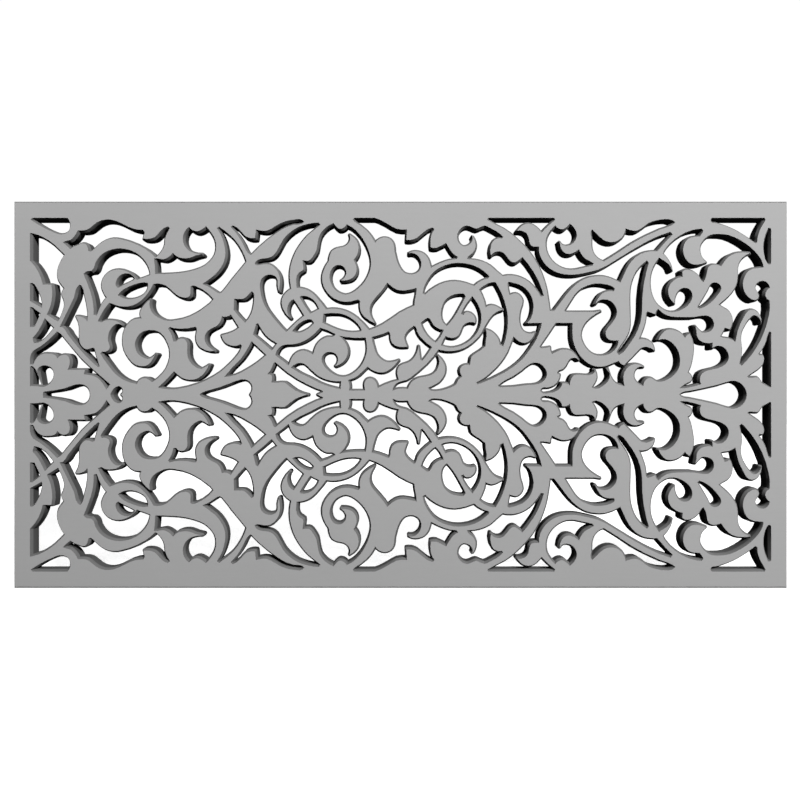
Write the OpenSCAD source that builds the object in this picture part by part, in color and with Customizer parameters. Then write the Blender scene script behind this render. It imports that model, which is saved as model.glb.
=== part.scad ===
// Carved lattice grille: a fretwork panel of arabesque scrolls, painted one colour.
// X runs along the length, Y through the thickness with the front face towards -Y, Z up.
// The origin is at the middle of the lower edge, half way through the thickness.

/* [Overall size] */
// Length of the grille
panel_l = 1200; // [1100:10:1500]
// Height of the grille
panel_h = 600; // [560:10:750]
// Thickness of the boards
panel_t = 25; // [20:1:32]

/* [Margin and frame] */
// Width of the plain margin round the scrollwork, frame and rim together
margin_w = 26; // [24:1:34]
// Width of the frame members
frame_w = 20; // [18:1:22]

/* [Carved slopes] */
// Width of the slope round each opening and along the outer edges, on the front face
arris_w = 2.5; // [1.5:0.1:3]
// Depth of the slope along the outer edges
arris_d = 4.5; // [3:0.5:7]
// How far a curve may lie outside the straight lines that it is cut with
curve_tol = 0.25; // [0.2:0.05:0.6]

/* [Corner joints] */
// Length of the tenon on each rail end
tenon_l = 13; // [8:1:14]
// Thickness of the tenon
tenon_t = 8; // [6:1:12]
// Shoulder above and below the tenon
tenon_shoulder = 4; // [3:0.5:5]
// Room left for glue at the bottom of a mortise
mortise_gap = 1; // [0.5:0.1:2]
// Diameter of the peg through each corner joint
peg_d = 5; // [4:0.5:6]
// Wood left in front of a peg, so that none shows on the face
peg_cover = 6; // [5:0.5:8]

/* [Dowels] */
// Diameter of the hidden dowels
dowel_d = 6; // [4:0.5:7]
// Length of a dowel
dowel_l = 22; // [16:1:24]
// Room left for glue at each end of a dowel's hole
dowel_gap = 1; // [0.5:0.1:2]

/* [Hidden] */
$fn = 48;
most_turn = 20;
tip_turn = 60;
tip_blunt = 0.1;
paint = [0.67, 0.67, 0.67];
beech = [0.80, 0.66, 0.48];

open_half_l = panel_l / 2 - margin_w;
open_half_h = panel_h / 2 - margin_w;
mid_z = panel_h / 2;
rail_l = panel_l - 2 * frame_w;
leaf_h = mid_z - frame_w;
tenon_h = frame_w - 2 * tenon_shoulder;
bore_l = dowel_l / 2 + dowel_gap;

// Dowels along the middle joint and the edges, as drawn from the centre of the panel.
centre_dowel_x = [-468, -395, -215, -86, -47, 28, 105, 275, 395, 550];
rail_dowel_x = [-505, -382, -232, -94, 25, 117, 250, 325, 440];
left_dowel_z = [257, 188, 97, 7];
right_dowel_z = [265, 187, 5];

// Cut-outs of the upper leaf. Each is a closed outline of [x, z] points on the front face.
// The line runs smoothly through a point, or turns sharply where a third value of 1 is given.
left_cuts = [
    // Corner slot
    [[-573,271,1], [-570,274,1], [-516,274,1], [-511,262], [-514,253], [-521,249], [-528,248.5],
     [-536,251], [-556,260.5]],
    // Long cut beside the left edge
    [[-574,251,1], [-560,247], [-548,241], [-536,232.5], [-527,224], [-520,217,1], [-525,209],
     [-529.5,199], [-531.5,188], [-530,178], [-525,170.5], [-520.5,165,1], [-524,160],
     [-525,156], [-522.5,149.5], [-520.5,140], [-522.5,131], [-530.5,113,1], [-548,124,1],
     [-543.5,134], [-540.5,146], [-539.5,160], [-541,170.5,1], [-554,170.5,1], [-557,181],
     [-565,197], [-574,207.5,1]],
    // Slots at the left edge, from above
    [[-574,173,1], [-570,173], [-562,163], [-557,152.5], [-555,144], [-555.5,134.5,1],
     [-574,145,1]],
    [[-574,136,1], [-570,135.5,1], [-557.5,126,1], [-561,117], [-567,105,1], [-574,105,1]],
    [[-551,118.5,1], [-536.5,104,1], [-545,93], [-556,83], [-568,79.5,1], [-570,88,1],
     [-561,99], [-556,108]],
    // Under the diagonal stem
    [[-532,98,1], [-527,95], [-519,86], [-505,69], [-494,56], [-482,44.5], [-469,33],
     [-449.5,16,1], [-455.5,8,1], [-461,17], [-467,24], [-474,28.5], [-483,30.5],
     [-490.5,31.5,1], [-489,38.5,1], [-500,38.5], [-516,38.5,1], [-513,46], [-512.5,54],
     [-516,60.5], [-524,61.5], [-531.5,56,1], [-536,62], [-545,63.5], [-553,63.5],
     [-561,59.5], [-566,53], [-569,46.5,1], [-574,47,1], [-574,57,1], [-569,68], [-560,73.5],
     [-545,85], [-537,93]],
    // Curl at the left edge
    [[-574,43,1], [-571,44.5], [-567,41.5], [-562.5,33.5,1], [-562,40], [-557,44.5],
     [-550,45.5], [-543,43.5], [-538,38.5], [-536.5,31], [-539,22.5], [-546,15], [-554,12],
     [-562,13], [-574,13.5,1]],
    // Band over the ring
    [[-523,236,1], [-519,238], [-511,240], [-505.5,245], [-500,254.5,1], [-492,254.5],
     [-485,256], [-478,261], [-471,266.5], [-462,270.5], [-453,271.5], [-443,270],
     [-430,264.5], [-419,259], [-411,256.5], [-399,255.5,1], [-396,251.5,1], [-398.5,242,1],
     [-389,241.5], [-381,244], [-374,251], [-367,258], [-360,260.5,1], [-357,258,1],
     [-361,251], [-364.5,242], [-365,234], [-368.5,224.5], [-379.5,212.5,1], [-387,219.5],
     [-395,225.5], [-407,232], [-421,237.5], [-434,241], [-446,242], [-457,239],
     [-467,232.5], [-473.5,226.5], [-479.5,221.5,1], [-483.5,222.5,1], [-485,229],
     [-488,233.5], [-493,234.5], [-499,232], [-506,229.5], [-511.5,225.5,1], [-516.5,230]],
    // Inside the ring
    [[-491,187,1], [-485,191.5], [-479,192], [-475,196.5], [-473,203.5], [-469,210.5],
     [-462,218], [-452,223.5], [-440,226.5], [-427,226], [-415,222.5], [-404,216],
     [-395.5,207], [-390,197], [-387.5,185.5,1], [-398,181.5], [-408.5,178,1], [-415.5,185.5],
     [-424,191], [-437,194], [-448,192], [-458,184.5], [-462.5,175.5], [-463,167],
     [-460.5,159.5], [-455,150.5,1], [-462,142], [-466.5,133], [-470.5,122.5,1],
     [-475.5,124,1], [-476,140], [-480,158.5], [-485.5,173.5]],
    [[-440.5,168], [-440.5,176], [-436,183.5], [-427,188], [-419,187], [-411,179,1],
     [-420,174], [-429,170], [-437,165.5,1]],
    [[-438,154,1], [-432,161], [-422,167], [-410,171.5], [-399,174], [-391.5,173.5,1],
     [-391,167], [-395,158], [-403,152], [-413,148.5], [-423,148], [-432,150.5]],
    // Tall cut left of the palm leaf
    [[-499.5,168.5], [-496.5,170.5], [-493.5,168], [-490,157], [-486.5,142], [-484.5,128],
     [-485,113,1], [-489,118], [-495,121], [-503,121.5,1], [-499.5,114], [-497.5,104],
     [-497.5,91], [-497,82], [-493,74.5], [-487,70.5], [-481,71.5], [-477,73], [-474,71.5,1],
     [-471,61], [-466,44,1], [-468,42.5,1], [-475,48], [-487,59.5], [-497,70.5],
     [-507,82.5], [-516,94], [-523,104], [-528,105,1], [-524,113], [-515,131.5], [-506,150]],
    // Round the palm leaf, the stem and the large curl
    [[-469,113.5,1], [-464,124], [-458,134], [-451,142.5,1], [-444,140], [-437,137.5],
     [-427,136.5], [-418,137.5], [-409,141], [-400,147.5], [-392,156.5], [-387,164],
     [-383,171.5,1], [-377,172.5], [-370,171.5], [-362.5,168.5], [-356.4,163.5],
     [-350,157.5], [-343,152.5], [-336,150.5], [-329.5,151], [-326,154], [-325.5,161],
     [-325.3,167.5,1], [-322,169.3], [-314.5,167], [-305,162], [-297,156], [-289.5,148,1],
     [-295,141.5], [-301.5,136.5], [-309.5,130.5], [-318,125.5], [-327,121], [-338,117.3],
     [-348,115.5], [-358.5,114.3], [-366,115.5], [-372,118], [-380,122.5], [-385.5,128.5],
     [-388.5,136], [-388.5,147,1], [-393,143.5], [-398,138], [-401.5,132.5,1], [-403.5,126],
     [-401,118,1], [-406.5,118], [-412.5,117], [-418,114], [-423,109], [-427,102.5],
     [-429.5,95], [-430.5,86.5], [-430.3,77.5], [-428.5,70], [-425.5,63.3], [-421.5,57],
     [-416.5,51], [-410.5,46.5], [-403.3,44.5], [-396.2,44.5], [-390.5,47], [-386.5,51],
     [-383.5,56], [-380,62.5,1], [-385,58], [-391,55.5], [-398.5,57.5], [-405.5,62.3],
     [-409.5,68.3], [-411.3,74.6], [-410.8,82.8], [-408,89], [-403.3,95], [-397,98.8],
     [-390,100.2], [-382,100], [-375.5,98.3], [-369.5,93.8], [-364.3,87], [-360.5,79.5],
     [-358,72], [-357.2,64.5], [-357.5,57], [-359.7,49], [-363.2,40.5], [-368.3,33.3],
     [-375.5,26], [-385,19.5,1], [-388.5,22.3], [-392.5,24.8], [-397.2,25.6], [-402.5,24.2],
     [-408.5,16.5,1], [-419,19], [-430,23.5], [-442,32.5], [-453,46], [-460,55.5],
     [-465,64,1], [-462.5,67,1], [-455.5,67.3], [-451,71], [-451,77], [-453,83], [-453,91],
     [-450.5,99], [-446,105.5], [-440,109.5], [-432,108,1], [-436,111.8], [-441,114.5],
     [-448,115.5], [-457,115], [-463,112,1]],
    // Under the arch of the large curl
    [[-360,102,1], [-358,105,1], [-350,103], [-340,102.3], [-329,103], [-317.5,105.3,1],
     [-315.5,102], [-316,97], [-317,90], [-316,82], [-312,75], [-306,71], [-298,68],
     [-289,68,1], [-296,73], [-301,78.5], [-303.5,85], [-303,92], [-299,98.5], [-292,103],
     [-285,106.5], [-280,112], [-277,121.5,1], [-269,121], [-263,124.5,1], [-256,113.5],
     [-250,104,1], [-260,97.5], [-268,94.5], [-277.5,92,1], [-275,85.5], [-270.5,80],
     [-263,76.5], [-255,75.8], [-248,78.3,1], [-245.5,76,1], [-248,69], [-256,57.5],
     [-267,46], [-281,34], [-296,25], [-315,16.5], [-330,12], [-345,9], [-360,8.5],
     [-376,11,1], [-366,20], [-358,28.5], [-351,36.5,1], [-346,32], [-338,26], [-329,23.5],
     [-320,23.5], [-311,27.5], [-303,35], [-297.5,46,1], [-302.5,43], [-309,40],
     [-317,42.5], [-325,49.5], [-329.5,58], [-330.5,70], [-330.5,80], [-334,85.5],
     [-341,87], [-347.5,82.5,1], [-352,82.5,1], [-354.5,92]],
    // Over the acanthus right of the ring
    [[-382,211,1], [-377,211.3], [-368,209.8], [-360.5,212.5], [-352.5,220,1], [-346,214],
     [-337,211.5], [-327,212], [-318,215.5], [-308.5,218,1], [-320,219.5], [-328.5,223.5],
     [-335,231.5], [-337.3,241.5], [-335,251.5], [-327.5,260,1], [-322,255], [-315,253.3],
     [-308,256], [-301.5,261,1], [-293,251], [-287.5,241], [-285.5,229], [-288,217],
     [-295,207], [-304,199.5], [-317,194], [-335,189.5], [-355,187.5], [-380,187,1],
     [-380.5,198]],
    [[-307,171.5,1], [-297,178.5], [-288,185.5], [-279,196], [-273,208], [-271.3,220],
     [-273.5,234], [-278,247], [-284.5,258,1], [-281,260.5,1], [-269,251.5], [-257,240.5],
     [-247.5,227], [-241,213.5], [-238.5,206,1], [-250,192], [-262,177.5], [-273.5,162.5],
     [-280,157], [-288,161], [-298,167.5]],
    [[-263,259.5,1], [-260.5,262.3,1], [-253,259], [-246.5,252.5], [-240,245.5],
     [-232,242.7], [-225.5,243,1], [-224,256,1], [-216,254.3], [-207,254.3], [-199,258],
     [-189,264], [-178,268.7], [-165,271.2], [-152,270.8], [-149,268,1], [-152,265],
     [-165,263.3], [-178,259], [-190,252], [-205,241], [-219,229], [-232,216,1], [-237,220],
     [-244.5,234.5], [-254,249.5]],
];

centre_cuts = [
    // Hook and blade left of the bud
    [[-226,202,1], [-224,206.5], [-218.5,210], [-209,211.3], [-201,213.2], [-194.5,218.5],
     [-188.5,228.5], [-182.5,239.5], [-173,250], [-160,259], [-146,264], [-127,266.8,1],
     [-124,263,1], [-131,257.5], [-143,247.5], [-153,236], [-162,222], [-168,207.5],
     [-171.3,192], [-171.3,176], [-169.3,164,1], [-176,159.5], [-182,152], [-184.3,142],
     [-181.5,132], [-172,119.5,1], [-175.5,128], [-174.5,138], [-169.5,146], [-165.5,148,1],
     [-160,140], [-149,122.5,1], [-160,113.5], [-169,105], [-177,97,1], [-187,107],
     [-197.5,119.5], [-207,132], [-213.5,145], [-217,160], [-217.8,172], [-215,180],
     [-208.5,185], [-200.5,186], [-194,183.5], [-190.5,178], [-190.5,170], [-188.5,161,1],
     [-187,170], [-187,180], [-189.5,189], [-195.5,197], [-203,201.8], [-213,202],
     [-221.5,200.5]],
    // Small cuts round the crossing stems
    [[-258,148.5,1], [-250,148.3], [-243,149], [-236.5,154], [-231,160.3,1], [-227.5,157.5],
     [-226.7,150], [-228,137], [-231.5,125], [-241,111.5,1], [-250,121], [-258.5,131,1]],
    [[-224,109.5,1], [-221,111,1], [-216,102.5], [-209,92.5], [-200,85], [-190.8,79.5,1],
     [-199.5,68.5,1], [-215,82], [-228.5,93,1], [-226,102]],
    [[-231,83,1], [-219,72], [-207.5,61.5,1], [-221,50.5], [-238,39.5], [-256,30.5],
     [-273,27.5,1], [-261,42], [-248,55], [-239,68]],
    [[-170,42,1], [-163,47.3], [-155,49.3], [-147.5,47], [-139,39], [-130,31], [-119,25],
     [-106,21.5], [-92,21,1], [-93,8.5,1], [-108,12], [-125,18], [-140,26], [-156,33.5]],
    [[-194,61,1], [-192,67.5], [-187,74], [-179,77.5], [-168,78], [-156,80.5], [-143,87],
     [-133,95], [-124.5,104,1], [-113,100], [-100.5,93.5,1], [-104,90], [-114,89.5],
     [-123,85], [-130,77.5], [-133.5,69], [-135.5,62,1], [-141,65.5], [-150,68.5],
     [-159,66.5], [-166,61], [-170,54], [-173.5,45,1], [-183,53]],
    [[-156.5,151,1], [-154,153,1], [-145,152.5], [-137,148.5], [-130,141], [-126,132.5,1],
     [-140,125.5,1], [-149,138.5]],
    [[-168,98.5,1], [-162,106], [-154,112.5], [-145,116.5], [-140.5,117], [-134,110.5,1],
     [-140,104.5], [-148,99.5], [-158,96]],
    [[-119.5,125.5,1], [-108,126.5], [-97,126.3], [-85,123.3], [-74,117], [-66,109.5],
     [-60,100,1], [-62,98,1], [-75,96.8], [-90,98.8], [-105,104], [-121,111.5,1]],
    // Round the bud and its spiral
    [[-161,165.5,1], [-161.5,172], [-160.5,185], [-157,189.5], [-151,193.5], [-151,201],
     [-152,208.5,1], [-146,207.5], [-141.5,208], [-136,214], [-130.5,223.5], [-128.5,235],
     [-125,248], [-117,258], [-109,263.5], [-103.5,266,1], [-99,260], [-94.5,257],
     [-89.5,258], [-83.5,264,1], [-75,259.5], [-63,248], [-54,234], [-47.5,217],
     [-45.5,203], [-48,190], [-55,176], [-65,165], [-75,158], [-85,155], [-94,157.5],
     [-102,163], [-107.5,171.5], [-110,181], [-108.5,191], [-104,198], [-97,201],
     [-90,199.5], [-85.5,194.5], [-84,188], [-86.5,182], [-92,177,1], [-83,177.5],
     [-75,180.5], [-69.5,187.5], [-68,195], [-69.5,202], [-73,208.5,1], [-67,217.5],
     [-65,228], [-67.5,237.5], [-73,244], [-79,248,1], [-78,241], [-82,233], [-89,229],
     [-99,227], [-106,223], [-109.5,216], [-111,207,1], [-117,197.5], [-121,186],
     [-121,174.5], [-116,162], [-107,152], [-96,146], [-85,144], [-75,145], [-65.5,147.7,1],
     [-62.5,145,1], [-63,135], [-60,125.5], [-53.5,118.8], [-41,111.5,1], [-45,119],
     [-48,129], [-46.5,139.5], [-41,148], [-33,157], [-26,165.5], [-20.5,174,1], [-13,167],
     [-5,162.7], [5,161.5], [15,163], [25,165.5,1], [24,155], [22,146], [21.5,138,1],
     [10,133], [-2,126.5], [-14,118], [-28,109], [-49,100,1], [-57,109.5], [-67,119],
     [-79,127], [-93,132], [-106,133.3], [-115.5,132.3,1], [-123,142.5], [-132,153],
     [-142,161], [-151,164.5]],
    // Crest over the centre
    [[-74,271,1], [-72,274,1], [-40,274,1], [-34,272], [-24,267], [-14,261], [-6,257],
     [2,255.8], [10,256,1], [9,240,1], [16,239.8], [25,243], [33,249.5], [41,256],
     [50,259,1], [52.5,256,1], [48,248], [46.3,238], [47,228,1], [56,227.8], [63,231],
     [70.5,235,1], [75,227.5], [81,219], [89,213.5,1], [87,210,1], [76,208.7], [62,204],
     [47,196.5,1], [45.5,202], [42.5,211], [36,218.5], [27,222], [19,222], [13,219.5,1],
     [20,219.3], [26,216], [30.5,210], [32.3,202], [28.5,191.5], [21,187], [13,186.5],
     [5,189.5], [-1.5,197.5], [-6.5,209.5], [-9.5,222], [-11,234], [-16,241], [-24,243.7],
     [-32,242], [-39.5,235,1], [-45,245], [-53,254.5], [-62,262], [-72,268.5]],
    // Crescent and the wheel below it
    [[34,157,1], [36,166], [42,178.5], [52,191], [66,199.5], [82,203.8], [98,203.8],
     [114,200], [127,193], [137.5,183.5,1], [136,180.3,1], [126,177], [114,168.5,1],
     [101,173], [84,176], [69,174], [55,168], [38,155,1]],
    [[31,111,1], [38,117], [43,119], [45.5,117.5], [50,109.5], [57,103.5], [67,100.5,1],
     [62,90], [54,80.5,1], [45,87.5], [37,97.5]],
    [[62.3,124], [63.5,134], [68,145], [77,153], [88,156.3], [98,156.8,1], [101,152,1],
     [91.5,134.5], [81.5,118], [71.5,106.3,1], [65,113]],
    [[111,153,1], [117,145], [122,135.5], [125,124], [124.7,112], [120.5,99.5], [112,88],
     [101,79.5], [89,74.5], [77,73], [62.5,76.5,1], [66,85], [69.5,91,1], [76,88.5],
     [83,88.3], [89.5,92], [93,99], [96.5,107], [103,111.5], [115,111.5,1], [115.5,118],
     [112,124], [105,127.8], [100,127], [97.5,123.5,1], [93.5,125,1], [97,133.5],
     [103,143]],
    // Spiral disc
    [[-95.5,91.5,1], [-85,89.5], [-72,88.3], [-54,88.5,1], [-52.3,78], [-52.3,67],
     [-56,54], [-63,42.5], [-73,33.5], [-84,28.3], [-95,28.3], [-106,33], [-116,41.5],
     [-121.8,51], [-121.5,59.5], [-116,65], [-108,66.3], [-101,63.5], [-97,57],
     [-97.5,50], [-101,44.5,1], [-92,48.5], [-85.5,55], [-82,64], [-82.5,73.5],
     [-87,82.5]],
    // Leaves and arches beside the middle joint
    [[-45,89.5,1], [-34,92.3], [-19,98,1], [-16.5,95.5], [-15.5,87], [-12.5,79.5],
     [-5.5,75], [3,74], [10,74.5,1], [7.5,81], [5.7,89], [8.5,96], [14.5,102.5],
     [20.5,107,1], [23.5,105], [26,97], [32,88], [40,80.5], [49,73.5,1], [40,60.5],
     [33.5,52.5,1], [30.5,54.5,1], [29.5,63], [27.8,75,1], [25.5,66], [21,57.5],
     [13,50.5], [4,47.5], [-2,44], [-5,37], [-4.5,29], [-2.5,22.5,1], [-13,20], [-24,16],
     [-35.5,10.5,1], [-37.5,17.5], [-41.5,23.5], [-47.5,25.5], [-53,23.5], [-56,18],
     [-56,12], [-55,6.5,1], [-80,6.5,1], [-79,14], [-81.5,22.5,1], [-73,25.5], [-64,31],
     [-57,38], [-51,43.5,1], [-44,38.5], [-35,35], [-26,34.8], [-17,39], [-9.5,45.5],
     [-3,53.5,1], [-12,51], [-21,50.5], [-30,55], [-37,62.5], [-41,73]],
    // Outside the wheel and down to the middle joint
    [[-12.5,6,1], [-11,12], [-6,18], [1,20.8], [9,22.8], [18,28.5], [30,38.5], [41,48.5],
     [50,58.5], [58.5,70,1], [67,68.3], [80,67.7], [93,70.3], [105,76], [116,85],
     [125,95.5], [130.5,106.5], [137,117], [146,126.5], [157.5,131.7,1], [150,136],
     [141,138.8], [131.5,135,1], [129.5,145], [125.5,155.5], [121.5,163,1], [129,169],
     [137,173], [147,174.5,1], [154.5,161.5], [161,145], [165,129], [166.3,113],
     [164.8,97], [159,74.5,1], [153.5,77.5,1], [151.5,86], [146,93.5], [139,98.8],
     [132.5,101,1], [133.3,91], [132,83], [131.5,75,1], [124,69], [114.5,63], [109.5,58],
     [108.3,52], [107.5,46,1], [100,46.3], [94.5,43.5], [92,38], [93,32.5], [95.5,28,1],
     [89.5,23], [86,16], [79,12], [68,8], [56,5.8], [45,7.5], [42.5,10.5,1], [50,14],
     [58,18.5], [64.5,25.5], [68.5,34], [69,43], [66,51], [58,60,1], [60,52],
     [58.8,44.5], [55,36.5], [49,31.5], [40,28.3], [30,26.5], [22,23.5], [15.5,17.5],
     [11.5,9,1], [4,9.5], [-3,9.3]],
    // Band right of the crescent
    [[87.3,245], [90,253.5], [96,260], [103,262], [110,260], [117,257.3], [124,260],
     [130,262], [138,258.8], [148,253.5], [159,244.5,1], [157,241.8,1], [149,241.5],
     [143.5,238], [140,230], [139,223], [140,216.5,1], [147,221.3], [154,222],
     [160.5,219], [165.5,213], [170.5,207], [176,204.8], [181.5,207.5], [188.5,213.5,1],
     [197,203.5], [206,190.5], [214,175.5], [222,153,1], [217,152,1], [209,164],
     [199,174.5], [186,181.8], [172,185], [158,183.5,1], [149,191], [139,200], [127,206],
     [115,209], [103,210,1], [104,213.5], [111.5,219.5], [116,228], [115.5,237],
     [108,249,1], [111.8,241], [109.5,235.5], [104,231], [97,230], [90.5,235]],
];

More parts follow.
